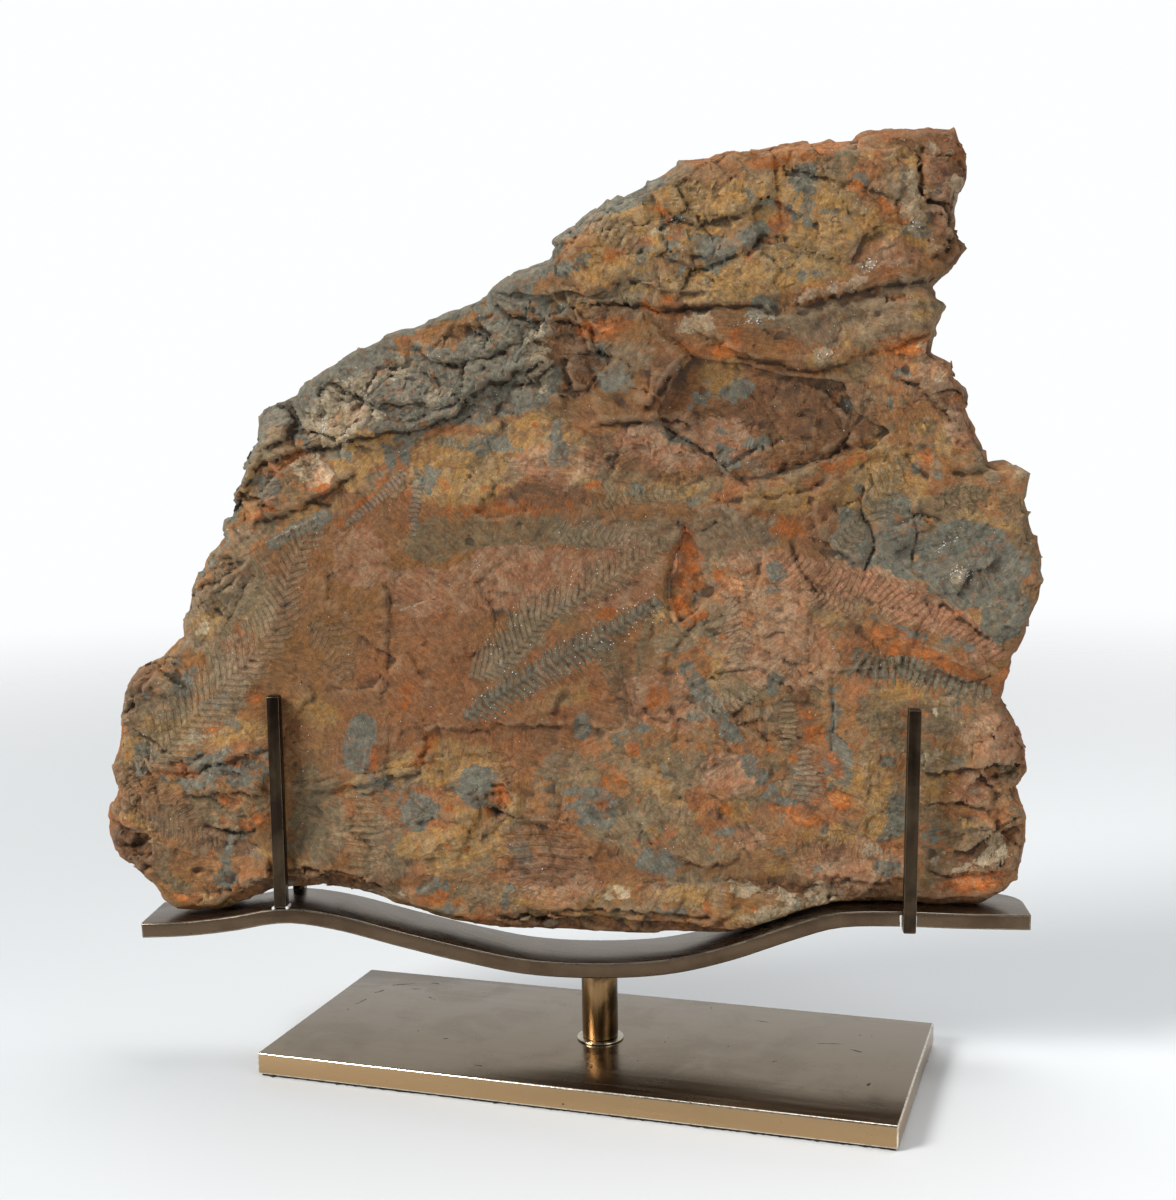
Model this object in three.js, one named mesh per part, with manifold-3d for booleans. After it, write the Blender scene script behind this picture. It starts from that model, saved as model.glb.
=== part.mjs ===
// Fossil fern plate: a broken slab of ironstone with fern impressions, standing on edge
// in a wave-shaped bronze cradle that turns on a short post above a heavy base plate.
// Millimetres, +Z up. The origin is the centre of the base's underside, +X runs along
// the base plate and -Y is the show side.

import * as THREE from 'three';
import { mergeVertices } from 'three/addons/utils/BufferGeometryUtils.js';
import Module from 'manifold-3d';

const wasm = await Module();
wasm.setup();

// ---------------------------------------------------------------- driving dimensions

const GAP = 0.3;                 // clearance kept between two touching pieces
const SHOW_ANGLE = 14;           // degrees that the cradle is turned on its post

const BASE_LENGTH = 420;
const BASE_DEPTH = 174;
const BASE_THICKNESS = 14.5;
const BASE_BEVEL = 1.2;
const FELT_THICKNESS = 1.2;
const FELT_INSET = 2;

const WASHER_DIAMETER = 31;
const WASHER_THICKNESS = 1.2;
const POST_DIAMETER = 24;
const POST_EDGE = 0.8;

const BAR_WIDTH = 50;            // flat bar of the cradle, front to back
const BAR_THICKNESS = 10;
const BAR_EDGE = 0.8;
const BAR_CORNER = 22;           // rounded back corner at the right end

const PRONG = 8;                 // square bar of the four prongs
const PRONG_EDGE = 0.8;
const PRONG_TAIL = 2;            // how far an edge-mounted prong reaches below the bar

const STONE_FRONT = 15;          // the main face lies this far in front of the post's axis
const STONE_BACK = 24;
const STONE_RIM = 7;             // depth of the widest outline in front of the axis
const RIM_INSET = 3.5;

// Heights of the stack, from the floor up
const baseBottom = FELT_THICKNESS + GAP;
const baseTop = baseBottom + BASE_THICKNESS;
const washerBottom = baseTop + GAP;
const washerTop = washerBottom + WASHER_THICKNESS;
const postBottom = washerTop + GAP;

// ---------------------------------------------------------------- helpers

const up = new THREE.Vector3(0, 0, 1);

function finish(name, geometry, color, roughness, metalness) {
  const material = new THREE.MeshStandardMaterial({ color, roughness, metalness });
  const mesh = new THREE.Mesh(geometry, material);
  mesh.name = name;
  return mesh;
}

function solid(geometry) {
  const bare = geometry.clone();
  bare.deleteAttribute('normal');
  bare.deleteAttribute('uv');
  const merged = mergeVertices(bare, 1e-4);
  return new wasm.Manifold(new wasm.Mesh({
    numProp: 3,
    vertProperties: new Float32Array(merged.attributes.position.array),
    triVerts: new Uint32Array(merged.index.array),
  }));
}

function geometryOf(body) {
  const mesh = body.getMesh();
  const geometry = new THREE.BufferGeometry();
  geometry.setAttribute('position', new THREE.BufferAttribute(mesh.vertProperties, 3));
  geometry.setIndex(new THREE.BufferAttribute(mesh.triVerts, 1));
  return geometry;
}

// An outline in X and Z, given thickness from `front` to `back` (distances in front of
// the post's axis, so a back behind the axis is negative), with bevelled rims.
function upright(points, front, back, bevel = 0) {
  const shape = new THREE.Shape(points.map(([x, z]) => new THREE.Vector2(x, z)));
  const geometry = new THREE.ExtrudeGeometry(shape, {
    depth: front - back - 2 * bevel,
    steps: 1,
    curveSegments: 6,
    bevelEnabled: bevel > 0,
    bevelSegments: 1,
    bevelThickness: bevel,
    bevelSize: bevel,
    bevelOffset: -bevel,
  });
  geometry.translate(0, 0, back + bevel);
  geometry.rotateX(Math.PI / 2);
  return geometry;
}

// A rectangle lying flat, with bevelled rims, its underside at `bottom`
function flatPlate(length, depth, thickness, bottom, bevel) {
  const shape = new THREE.Shape();
  shape.moveTo(-length / 2, -depth / 2);
  shape.lineTo(length / 2, -depth / 2);
  shape.lineTo(length / 2, depth / 2);
  shape.lineTo(-length / 2, depth / 2);
  shape.closePath();
  const geometry = new THREE.ExtrudeGeometry(shape, {
    depth: thickness - 2 * bevel,
    bevelEnabled: bevel > 0,
    bevelSegments: 1,
    bevelThickness: bevel,
    bevelSize: bevel,
    bevelOffset: -bevel,
  });
  geometry.translate(0, 0, bottom + bevel);
  return geometry;
}

// A round piece on the post's axis with its edges broken by `edge`
function turned(diameter, bottom, top, edge) {
  const r = diameter / 2;
  const profile = [
    new THREE.Vector2(0, bottom),
    new THREE.Vector2(r - edge, bottom),
    new THREE.Vector2(r, bottom + edge),
    new THREE.Vector2(r, top - edge),
    new THREE.Vector2(r - edge, top),
    new THREE.Vector2(0, top),
  ];
  const geometry = new THREE.LatheGeometry(profile, 40);
  geometry.rotateX(Math.PI / 2);
  return geometryOf(solid(geometry));
}

// A half space's worth of stone to chip off: everything in front of a plane that passes
// through `point` and faces `normal` (X, Y and Z of the cradle), `reach` wide and high.
function chip(point, normal, reach, depth = 60) {
  const box = new THREE.BoxGeometry(reach[0], reach[1], depth);
  box.translate(0, 0, depth / 2);
  const facing = new THREE.Vector3(...normal).normalize();
  const across = new THREE.Vector3().crossVectors(up, facing).normalize();
  const rise = new THREE.Vector3().crossVectors(facing, across);
  const frame = new THREE.Matrix4().makeBasis(across, rise, facing);
  frame.setPosition(...point);
  box.applyMatrix4(frame);
  return solid(box);
}

// ---------------------------------------------------------------- cradle profile

// Centre line of the bent bar, left to right: level tail, hump, belly, shoulder, tail
const barLine = new THREE.SplineCurve([
  [-302, 95.5], [-272, 96.8], [-240, 100.6], [-215, 105.2], [-195, 105.5], [-165, 100.3],
  [-125, 89.6], [-85, 80], [-45, 72.4], [0, 70.2], [45, 73], [85, 82.2], [125, 96],
  [155, 104.6], [190, 106], [235, 104.6], [278, 104],
].map(([x, z]) => new THREE.Vector2(x, z)));

const BAR_STEPS = 64;

function barEdge(side) {
  const edge = [];
  for (let i = 0; i <= BAR_STEPS; i += 1) {
    const t = i / BAR_STEPS;
    const p = barLine.getPointAt(t);
    const along = barLine.getTangentAt(t);
    const offset = (side * BAR_THICKNESS) / 2;
    edge.push([p.x - along.y * offset, p.y + along.x * offset]);
  }
  return edge;
}

const barTop = barEdge(1);
const barBottom = barEdge(-1);

// Height of one edge of the bar at x
function heightOn(edge, x) {
  const i = edge.findIndex((p) => p[0] >= x);
  const [x0, z0] = edge[i - 1];
  const [x1, z1] = edge[i];
  return z0 + ((z1 - z0) * (x - x0)) / (x1 - x0);
}

// ---------------------------------------------------------------- base and post

function makeBasePlate() {
  const geometry = flatPlate(BASE_LENGTH, BASE_DEPTH, BASE_THICKNESS, baseBottom, BASE_BEVEL);
  return finish('base_plate', geometry, 0x8a7d72, 0.35, 0.8);
}

function makeBaseFelt() {
  const inset = 2 * FELT_INSET;
  const geometry = flatPlate(BASE_LENGTH - inset, BASE_DEPTH - inset, FELT_THICKNESS, 0, 0);
  return finish('base_felt', geometry, 0x15130f, 0.95, 0);
}

function makeWasher() {
  const geometry = turned(WASHER_DIAMETER, washerBottom, washerTop, 0.3);
  return finish('swivel_washer', geometry, 0xa08a6a, 0.35, 0.9);
}

function makePost() {
  const top = heightOn(barBottom, 0) - GAP;
  const geometry = turned(POST_DIAMETER, postBottom, top, POST_EDGE);
  return finish('post', geometry, 0x4a3b28, 0.35, 0.9);
}

// ---------------------------------------------------------------- cradle and prongs

function makeCradle() {
  const outline = [...barTop, ...barBottom.slice().reverse()];
  const bar = solid(upright(outline, BAR_WIDTH / 2, -BAR_WIDTH / 2, BAR_EDGE));

  // Seen from above: square at the left, one rounded corner at the back on the right
  const plan = new THREE.Shape();
  const right = barTop[BAR_STEPS][0] + 5;
  const back = BAR_WIDTH / 2 + 5;
  plan.moveTo(-400, -back);
  plan.lineTo(right, -back);
  plan.lineTo(right, BAR_WIDTH / 2 - BAR_CORNER);
  plan.absarc(barTop[BAR_STEPS][0] - BAR_CORNER, BAR_WIDTH / 2 - BAR_CORNER, BAR_CORNER,
    0, Math.PI / 2, false);
  plan.lineTo(barTop[BAR_STEPS][0] - BAR_CORNER, back);
  plan.lineTo(-400, back);
  plan.closePath();
  const keep = new THREE.ExtrudeGeometry(plan, { depth: 200, bevelEnabled: false, curveSegments: 10 });
  const geometry = geometryOf(bar.intersect(solid(keep)));
  return finish('cradle', geometry, 0x5b4636, 0.3, 0.85);
}

function makeProng(name, x, y, bottom, top, lean = 0) {
  const half = PRONG / 2;
  const shape = new THREE.Shape();
  shape.moveTo(-half, -half);
  shape.lineTo(half, -half);
  shape.lineTo(half, half);
  shape.lineTo(-half, half);
  shape.closePath();
  const geometry = new THREE.ExtrudeGeometry(shape, {
    depth: top - bottom - 2 * PRONG_EDGE,
    bevelEnabled: true,
    bevelSegments: 1,
    bevelThickness: PRONG_EDGE,
    bevelSize: PRONG_EDGE,
    bevelOffset: -PRONG_EDGE,
  });
  geometry.translate(0, 0, PRONG_EDGE);
  const prong = finish(name, geometry, 0x3a2c22, 0.4, 0.85);
  prong.position.set(x, y, bottom);
  prong.rotation.y = THREE.MathUtils.degToRad(lean);
  return prong;
}

function makeProngs() {
  const onBar = -(BAR_WIDTH - PRONG) / 2;
  const onEdge = (BAR_WIDTH + PRONG) / 2 + GAP;
  const left = -208;
  const right = 200.5;
  return [
    makeProng('front_prong_left', left, onBar, heightOn(barTop, left + PRONG / 2) + GAP, 252.5),
    makeProng('front_prong_right', right, -onEdge, heightOn(barBottom, right) - PRONG_TAIL, 243.5, 1.2),
    makeProng('rear_prong_left', left, onEdge, heightOn(barBottom, left) - PRONG_TAIL, 292),
    makeProng('rear_prong_right', right, onEdge, heightOn(barBottom, right) - PRONG_TAIL, 292),
  ];
}

// ---------------------------------------------------------------- the stone

// Widest outline, clockwise from the foot at the left
const leftFlank = [
  [-283, 103.6], [-293, 110], [-301, 125], [-315, 137], [-324, 142], [-327, 155], [-325, 172],
  [-322, 187], [-324.5, 202], [-319, 218], [-317, 235], [-314, 253], [-306, 264], [-291, 271],
  [-276, 287], [-270, 304], [-264, 319], [-252, 341], [-242, 356], [-237, 377], [-226, 400],
  [-217, 415], [-214, 432],
];
const shoulderEdge = [
  [-204, 439], [-188, 446], [-184, 455], [-164, 464], [-155, 474], [-134, 483], [-104, 492],
  [-84, 500], [-66, 507], [-48, 519], [-21, 531], [-19, 543], [-3, 551], [14, 566], [36, 573],
  [58, 588],
];
const topEdge = [
  [90, 592], [119, 598], [140, 597], [156, 599], [166, 600], [178, 603], [208, 605], [229, 602],
];
const rightFlank = [
  [236, 585], [236, 571], [231, 556], [231, 541], [235.5, 529], [229, 518], [216, 508], [217, 500],
  [224, 496], [217, 480], [215, 465], [228, 458], [229, 450], [237, 442], [236, 430], [249, 410],
  [253, 396], [266, 397], [279, 389], [277, 375], [280, 357], [287, 340], [289, 320], [282, 304],
  [275, 285], [263, 259], [262, 244], [272, 231], [277.5, 217], [277, 198], [271, 189],
  [276, 172], [276.5, 150], [273, 130], [264, 119],
];
// Underside: it follows the bar at the right shoulder and clears its belly and hump
const footRight = [
  [250, 110.4], [215, 110.6], [190, 111.8], [160, 111.2], [140, 107.4], [120, 100.4], [100, 93],
  [85, 89.4],
];
const footBelly = [
  [62, 90], [28, 89.5], [0, 89.5], [-38, 91], [-70, 93.5], [-98, 98.5], [-130, 107.5],
  [-151, 116], [-178, 121.5], [-205, 120.5], [-222, 115.5], [-240, 107.8], [-256, 104.2],
];

const stoneRim = [...leftFlank, ...shoulderEdge, ...topEdge, ...rightFlank];
const stoneOutline = [...stoneRim, ...footRight, ...footBelly];

// Lower edge of the main face. The foot below it is broken back out of the face.
const faceFoot = [
  [250, 117], [215, 117], [190, 116], [160, 114], [140, 109.5], [120, 102], [100, 95.4], [85, 93],
  [62, 98], [28, 100], [0, 101], [-38, 100], [-70, 99], [-98, 103], [-130, 113], [-151, 124],
  [-178, 131.5], [-205, 130], [-222, 126], [-240, 115], [-256, 109.5],
];

// Beds that stand proud of the main face, each with the distance of its front
const proudBeds = [
  // The upper right block, whose lower edge is the long ledge
  [21.5, [
    [-2, 508], [30, 513], [60, 505], [92, 502], [118, 499], [150, 502], [182, 510], [206, 512],
    [224, 521], [226, 542], [221, 552], [206, 556], [207, 577], [196, 590], [158, 592], [122, 590],
    [90, 586], [60, 580], [34, 566], [12, 556], [-8, 540], [-14, 522],
  ]],
  // The smooth shelf under it
  [18.5, [
    [66, 484], [98, 466], [122, 461], [148, 457], [172, 465], [188, 480], [214, 487], [220, 496],
    [206, 510], [180, 512], [146, 504], [112, 502], [84, 504], [62, 500],
  ]],
  // The right hand block with the blue-grey bed
  [18, [
    [152, 392], [190, 400], [232, 402], [248, 396], [272, 388], [276, 352], [282, 322], [268, 290],
    [252, 282], [222, 304], [176, 324], [150, 342], [138, 366],
  ]],
  // The pinkish frond band below it, a low rounded rib
  [17.5, [
    [128, 342], [158, 334], [196, 316], [226, 298], [252, 276], [262, 266], [250, 258],
    [224, 272], [190, 286], [158, 302], [136, 322],
  ]],
];

// Hollows broken into the face, each with the distance of its floor
const hollows = [
  // Dark hollow under the shelf
  [9.5, [
    [44, 436], [64, 466], [92, 462], [126, 452], [158, 446], [168, 428], [188, 418], [182, 409],
    [150, 402], [118, 389], [96, 386], [76, 402], [52, 412],
  ]],
  // The rust-coloured wedge
  [9, [
    [50, 310], [54, 340], [60, 356], [68, 338], [78, 316], [62, 302], [56, 297],
  ]],
  // The lower bed, a little deeper than the main face above its long step
  [13.2, [
    [-214, 186], [-150, 192], [-132, 197], [-114, 204], [-104, 228], [-60, 230], [-20, 230],
    [18, 232], [26, 196], [64, 184], [96, 176], [120, 160], [112, 140], [66, 126], [4, 128],
    [-70, 128], [-130, 138], [-160, 150], [-214, 156],
  ]],
  // Chipped pocket at the left edge
  [9, [
    [-322, 166], [-300, 158], [-292, 150], [-302, 142], [-322, 142],
  ]],
];

// Slanting breaks: a point on the break, the way it faces, and its width and height.
// Each takes the corner off the face towards an edge of the stone.
const breaks = [
  // Flank above the shoulder ledge, falling back to the upper left edge
  [[-190, -STONE_FRONT, 402], [-0.17, -1, 0.2], [260, 120]],
  [[-70, -STONE_FRONT, 462], [-0.08, -1, 0.2], [200, 90]],
  // Upper left rim of the top block
  [[-4, -19, 540], [-0.35, -1, 0.45], [110, 60]],
  [[60, -19.5, 576], [-0.1, -1, 0.5], [110, 60]],
  // Top right corner, broken back to a deeper bed
  [[224, -12, 566], [0.22, -1, 0.04], [60, 150]],
  // Right and left rims
  [[268, -STONE_FRONT, 206], [1, -1, 0.06], [60, 90]],
  [[-316, -STONE_FRONT, 206], [-1, -1, 0.05], [60, 110]],
];

// Pulls an outline in by `inset`, square to its own edge
function insetOutline(points, inset) {
  const count = points.length;
  return points.map(([x, z], i) => {
    const [ax, az] = points[(i + count - 1) % count];
    const [bx, bz] = points[(i + 1) % count];
    const length = Math.hypot(bx - ax, bz - az);
    return [x + (inset * (bz - az)) / length, z - (inset * (bx - ax)) / length];
  });
}

function makeStone() {
  let stone = solid(upright(stoneOutline, STONE_RIM, -STONE_BACK, 2.5));
  const face = [...insetOutline(stoneOutline, RIM_INSET).slice(0, stoneRim.length), ...faceFoot];
  stone = stone.add(solid(upright(face, STONE_FRONT, 0, 2.5)));
  for (const [front, outline] of proudBeds) {
    stone = stone.add(solid(upright(outline, front, 0, 2)));
  }
  for (const [floor, outline] of hollows) {
    stone = stone.subtract(solid(upright(outline, 40, floor)));
  }
  for (const [point, normal, reach] of breaks) {
    stone = stone.subtract(chip(point, normal, reach));
  }
  return finish('fossil_slab', geometryOf(stone), 0x85644c, 0.85, 0);
}

// ---------------------------------------------------------------- assembly

const turntable = new THREE.Group();
turntable.rotation.z = THREE.MathUtils.degToRad(SHOW_ANGLE);
turntable.add(makePost(), makeCradle(), ...makeProngs(), makeStone());

const fernPlate = new THREE.Group();
fernPlate.add(makeBaseFelt(), makeBasePlate(), makeWasher(), turntable);

export default fernPlate;
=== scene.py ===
# %% [markdown]
# # Fossil fern plate
# A broken slab of ironstone, covered with the impressions of fern fronds, stands on edge in
# a wave-shaped bronze cradle. The cradle turns on a short post above a heavy base plate.
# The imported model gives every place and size. Here each piece gets its finer shape and its
# finish. Lengths are in metres unless a name or a comment says millimetres.

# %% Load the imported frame
import math

import bmesh
import bpy
import numpy as np
from mathutils.kdtree import KDTree
from mathutils import Matrix, Vector


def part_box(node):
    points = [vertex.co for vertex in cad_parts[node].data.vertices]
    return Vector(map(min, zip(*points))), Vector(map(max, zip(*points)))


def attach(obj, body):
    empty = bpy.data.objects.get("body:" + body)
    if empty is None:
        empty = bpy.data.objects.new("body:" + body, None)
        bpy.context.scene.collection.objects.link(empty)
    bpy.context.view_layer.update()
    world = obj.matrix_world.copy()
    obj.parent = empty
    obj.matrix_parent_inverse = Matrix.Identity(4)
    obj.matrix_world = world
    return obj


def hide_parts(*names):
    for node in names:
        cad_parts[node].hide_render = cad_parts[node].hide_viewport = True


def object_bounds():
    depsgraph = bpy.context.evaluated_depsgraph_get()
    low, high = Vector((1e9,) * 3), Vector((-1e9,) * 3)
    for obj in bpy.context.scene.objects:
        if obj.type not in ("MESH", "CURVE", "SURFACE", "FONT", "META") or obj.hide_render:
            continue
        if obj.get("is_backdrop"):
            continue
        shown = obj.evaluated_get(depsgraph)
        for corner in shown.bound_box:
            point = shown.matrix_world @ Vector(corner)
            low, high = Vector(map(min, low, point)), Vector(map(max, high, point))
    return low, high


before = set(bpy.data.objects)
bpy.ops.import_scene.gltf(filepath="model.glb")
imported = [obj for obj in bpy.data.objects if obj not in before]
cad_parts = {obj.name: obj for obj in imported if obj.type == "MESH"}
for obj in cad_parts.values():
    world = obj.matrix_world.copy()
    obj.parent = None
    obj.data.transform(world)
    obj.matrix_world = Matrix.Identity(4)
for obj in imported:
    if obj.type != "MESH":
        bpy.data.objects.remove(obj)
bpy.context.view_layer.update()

scene = bpy.context.scene
MM = 0.001
print("nodes:", sorted(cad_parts))

# %% [markdown]
# ## The cradle's own directions
# The cradle, its prongs and the stone are turned together about the post. It is far easier
# to place things on the stone when X runs along it, so this step finds the turn from the
# two rear prongs, which stand in line with the bar, and keeps one conversion each way.

# %% Directions of the turntable


def middle(node):
    low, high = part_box(node)
    return (low + high) / 2


bar_line = middle("rear_prong_right") - middle("rear_prong_left")
TURN = math.atan2(bar_line.y, bar_line.x)
COS, SIN = math.cos(TURN), math.sin(TURN)


def to_cradle(points):
    """World metres to millimetres along the cradle (X), across it (Y) and up (Z)."""
    x, y, z = points[:, 0] / MM, points[:, 1] / MM, points[:, 2] / MM
    return np.stack([COS * x + SIN * y, COS * y - SIN * x, z], 1)


def to_world(points):
    """Millimetres in the cradle's directions to world metres."""
    x, y, z = points[:, 0] * MM, points[:, 1] * MM, points[:, 2] * MM
    return np.stack([COS * x - SIN * y, SIN * x + COS * y, z], 1)


def vertices_of(mesh):
    points = np.empty(len(mesh.vertices) * 3)
    mesh.vertices.foreach_get("co", points)
    return points.reshape(-1, 3)


def cradle_box(node):
    """Lowest and highest corner of a node in the cradle's directions, in millimetres."""
    points = to_cradle(vertices_of(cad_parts[node].data))
    return points.min(0), points.max(0)


print(f"the cradle is turned {math.degrees(TURN):.2f} degrees")

# %% [markdown]
# ## Camera, floor and light
# The view is from a little above and to the right of the base. The floor is a pale disc that
# fades into a white surround, so there is no horizon. Its colour is darker at the left: painted
# shade that tones down the pool of light from the key lamp there. A large soft lamp stands
# high at the left front, a weaker one at the right, and the pale surround fills the rest.

# %% Camera
VIEW_FROM = Vector((0.33777, -1.03725, 0.43252))
VIEW_YAW = math.radians(-18.216)
VIEW_PITCH = math.radians(6.367)
VIEW_ROLL = math.radians(-0.965)
LENS = 50.64


def camera_matrix():
    look = Vector((
        math.sin(VIEW_YAW) * math.cos(VIEW_PITCH),
        math.cos(VIEW_YAW) * math.cos(VIEW_PITCH),
        -math.sin(VIEW_PITCH),
    ))
    level = Vector((math.cos(VIEW_YAW), -math.sin(VIEW_YAW), 0.0))
    rise = level.cross(look)
    right = math.cos(VIEW_ROLL) * level + math.sin(VIEW_ROLL) * rise
    top = -math.sin(VIEW_ROLL) * level + math.cos(VIEW_ROLL) * rise
    turned = Matrix((right, top, -look)).transposed().to_4x4()
    return Matrix.Translation(VIEW_FROM) @ turned


lens = bpy.data.cameras.new("view")
lens.lens = LENS
lens.sensor_width = 36.0
lens.clip_start = 0.05
lens.clip_end = 50.0
camera = bpy.data.objects.new("view", lens)
camera.matrix_world = camera_matrix()
scene.collection.objects.link(camera)
scene.camera = camera
scene.view_settings.view_transform = "Standard"
print("camera at", tuple(round(v, 3) for v in VIEW_FROM))

# %% [markdown]
# ## A short way to write materials
# Every finish is a set of nodes. The little class below adds a node, feeds its sockets and
# returns the socket that the next step needs, so that a finish reads from top to bottom.
# Sizes of patterns are given in millimetres.

# %% Nodes of any tree


class NodeMaker:
    """Adds nodes to a tree and feeds their sockets with values or with other sockets."""

    prefix = ""

    def add(self, kind, values=None, **settings):
        node = self.tree.nodes.new(kind if "Node" in kind else self.prefix + kind)
        for key, value in settings.items():
            setattr(node, key, value)
        for key, value in (values or {}).items():
            self.feed(node.inputs[key], value)
        return node

    def feed(self, socket, value):
        if isinstance(value, bpy.types.NodeSocket):
            self.tree.links.new(value, socket)
        else:
            socket.default_value = value

    def calc(self, operation, a, b=0.0):
        return self.add("ShaderNodeMath", {0: a, 1: b}, operation=operation).outputs[0]

    def plus(self, first, *others):
        for other in others:
            first = self.calc("ADD", first, other)
        return first

    def times(self, first, *others):
        for other in others:
            first = self.calc("MULTIPLY", first, other)
        return first

    def minus(self, a, b):
        return self.calc("SUBTRACT", a, b)

    def vector(self, operation, a, b):
        return self.add("ShaderNodeVectorMath", {0: a, 1: b}, operation=operation).outputs[0]


# %% Recipe for a node material


class Recipe(NodeMaker):
    """A material under construction, with a Principled surface at its end."""

    prefix = "ShaderNode"

    def __init__(self, name):
        self.material = bpy.data.materials.new(name)
        self.material.use_nodes = True
        self.tree = self.material.node_tree
        self.tree.nodes.clear()
        self.end = self.tree.nodes.new("ShaderNodeOutputMaterial")
        self.surface = self.tree.nodes.new("ShaderNodeBsdfPrincipled")
        self.tree.links.new(self.surface.outputs[0], self.end.inputs["Surface"])
        self.place = self.add("TexCoord").outputs["Object"]

    def set(self, **sockets):
        """Feeds sockets of the surface; an underscore stands for a space."""
        for key, value in sockets.items():
            self.feed(self.surface.inputs[key.replace("_", " ")], value)

    def ramp(self, value, low, high, start=0.0, end=1.0):
        return self.add("MapRange", {
            "Value": value, "From Min": low, "From Max": high, "To Min": start, "To Max": end,
        }, interpolation_type="SMOOTHSTEP").outputs["Result"]

    def blend(self, amount, a, b, mode="MIX"):
        node = self.add("Mix", data_type="RGBA", blend_type=mode, clamp_factor=True)
        for index, value in ((0, amount), (6, a), (7, b)):
            if index and not isinstance(value, bpy.types.NodeSocket):
                value = (*value, 1.0)
            self.feed(node.inputs[index], value)
        return node.outputs[2]

    def scaled(self, color, factor):
        """A colour made brighter or darker by one number."""
        grey = self.add("CombineColor", {0: factor, 1: factor, 2: factor}).outputs[0]
        return self.blend(1.0, color, grey, "MULTIPLY")

    def mapped(self, turn=(0, 0, 0), stretch=(1, 1, 1), shift=(0, 0, 0), source=None):
        return self.add("Mapping", {
            "Vector": source or self.place, "Location": shift,
            "Rotation": [math.radians(a) for a in turn], "Scale": stretch,
        }).outputs[0]

    def noise(self, size, detail=4.0, rough=0.55, warp=0.0, source=None):
        return self.add("TexNoise", {
            "Vector": source or self.place, "Scale": 1.0 / (size * MM),
            "Detail": detail, "Roughness": rough, "Distortion": warp,
        }).outputs[0]

    def noise_color(self, size, detail=4.0):
        """Three noises at once, from -0.5 to 0.5, for shifting a pattern about."""
        node = self.add("TexNoise", {
            "Vector": self.place, "Scale": 1.0 / (size * MM), "Detail": detail})
        return self.vector("SUBTRACT", node.outputs["Color"], (0.5, 0.5, 0.5))

    def attribute(self, name):
        """The three numbers that each vertex of the piece carries under this name."""
        source = self.add("Attribute", attribute_name=name).outputs["Vector"]
        parts = self.add("SeparateXYZ", {0: source}).outputs
        return parts[0], parts[1], parts[2]

    def bump(self, height, depth, strength):
        return self.add("Bump", {
            "Height": height, "Distance": depth * MM, "Strength": strength}).outputs[0]


# %% Floor, surround and lamps
FLOOR_REACH = 4.5
# The floor is painted darker at the left than at the right: painted shade that tones down the key
# lamp's pool of light.
FLOOR_COLORS_SHADED_LEFT = ((0.63, 0.66, 0.68), (0.85, 0.88, 0.90))     # at the left and at the right


def make_floor():
    mesh = bpy.data.meshes.new("floor")
    form = bmesh.new()
    bmesh.ops.create_circle(form, cap_ends=True, radius=FLOOR_REACH, segments=96)
    form.to_mesh(mesh)
    form.free()
    recipe = Recipe("pale_floor")
    far = recipe.add("VectorMath", {0: recipe.place}, operation="LENGTH").outputs["Value"]
    across = recipe.add("SeparateXYZ", {0: recipe.place}).outputs[0]
    # Painted shade: the floor's colour darkens towards the left.
    recipe.set(Base_Color=recipe.blend(recipe.ramp(across, -0.7, 0.6), *FLOOR_COLORS_SHADED_LEFT),
               Roughness=0.55, Specular_IOR_Level=0.3)
    clear = recipe.add("BsdfTransparent").outputs[0]
    mixer = recipe.add("MixShader", {
        0: recipe.ramp(far, 0.6, 2.8), 1: recipe.surface.outputs[0], 2: clear,
    })
    recipe.tree.links.new(mixer.outputs[0], recipe.end.inputs["Surface"])
    mesh.materials.append(recipe.material)
    floor = bpy.data.objects.new("floor", mesh)
    scene.collection.objects.link(floor)
    floor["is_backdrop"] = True
    return floor


def make_surround(seen, front, back):
    """A white surround: `seen` is how bright it looks behind the object. The light that it
    sheds is `front` from the viewer's side and `back` from behind the object."""
    world = bpy.data.worlds.new("surround")
    scene.world = world
    world.use_nodes = True
    nodes, links = world.node_tree.nodes, world.node_tree.links
    light = nodes["Background"]
    light.inputs["Color"].default_value = (0.985, 0.992, 1.0, 1.0)
    path = nodes.new("ShaderNodeLightPath")
    choose = nodes.new("ShaderNodeMapRange")
    where = nodes.new("ShaderNodeTexCoord")
    parts = nodes.new("ShaderNodeSeparateXYZ")
    links.new(where.outputs["Generated"], parts.inputs[0])
    fill = nodes.new("ShaderNodeMapRange")
    fill.interpolation_type = "SMOOTHSTEP"
    for key, value in (("From Min", -0.6), ("From Max", 0.7), ("To Min", front),
                       ("To Max", back)):
        fill.inputs[key].default_value = value
    links.new(parts.outputs["Y"], fill.inputs["Value"])
    links.new(fill.outputs["Result"], choose.inputs["To Min"])
    choose.inputs["To Max"].default_value = seen
    links.new(path.outputs["Is Camera Ray"], choose.inputs["Value"])
    links.new(choose.outputs["Result"], light.inputs["Strength"])


def add_lamp(name, place, aim, width, height, power, color=(1, 1, 1)):
    data = bpy.data.lights.new(name, "AREA")
    data.shape = "RECTANGLE"
    data.size, data.size_y = width, height
    data.energy = power
    data.color = color
    lamp = bpy.data.objects.new(name, data)
    lamp.location = place
    lamp.rotation_euler = (Vector(aim) - Vector(place)).to_track_quat("-Z", "Y").to_euler()
    scene.collection.objects.link(lamp)


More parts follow.
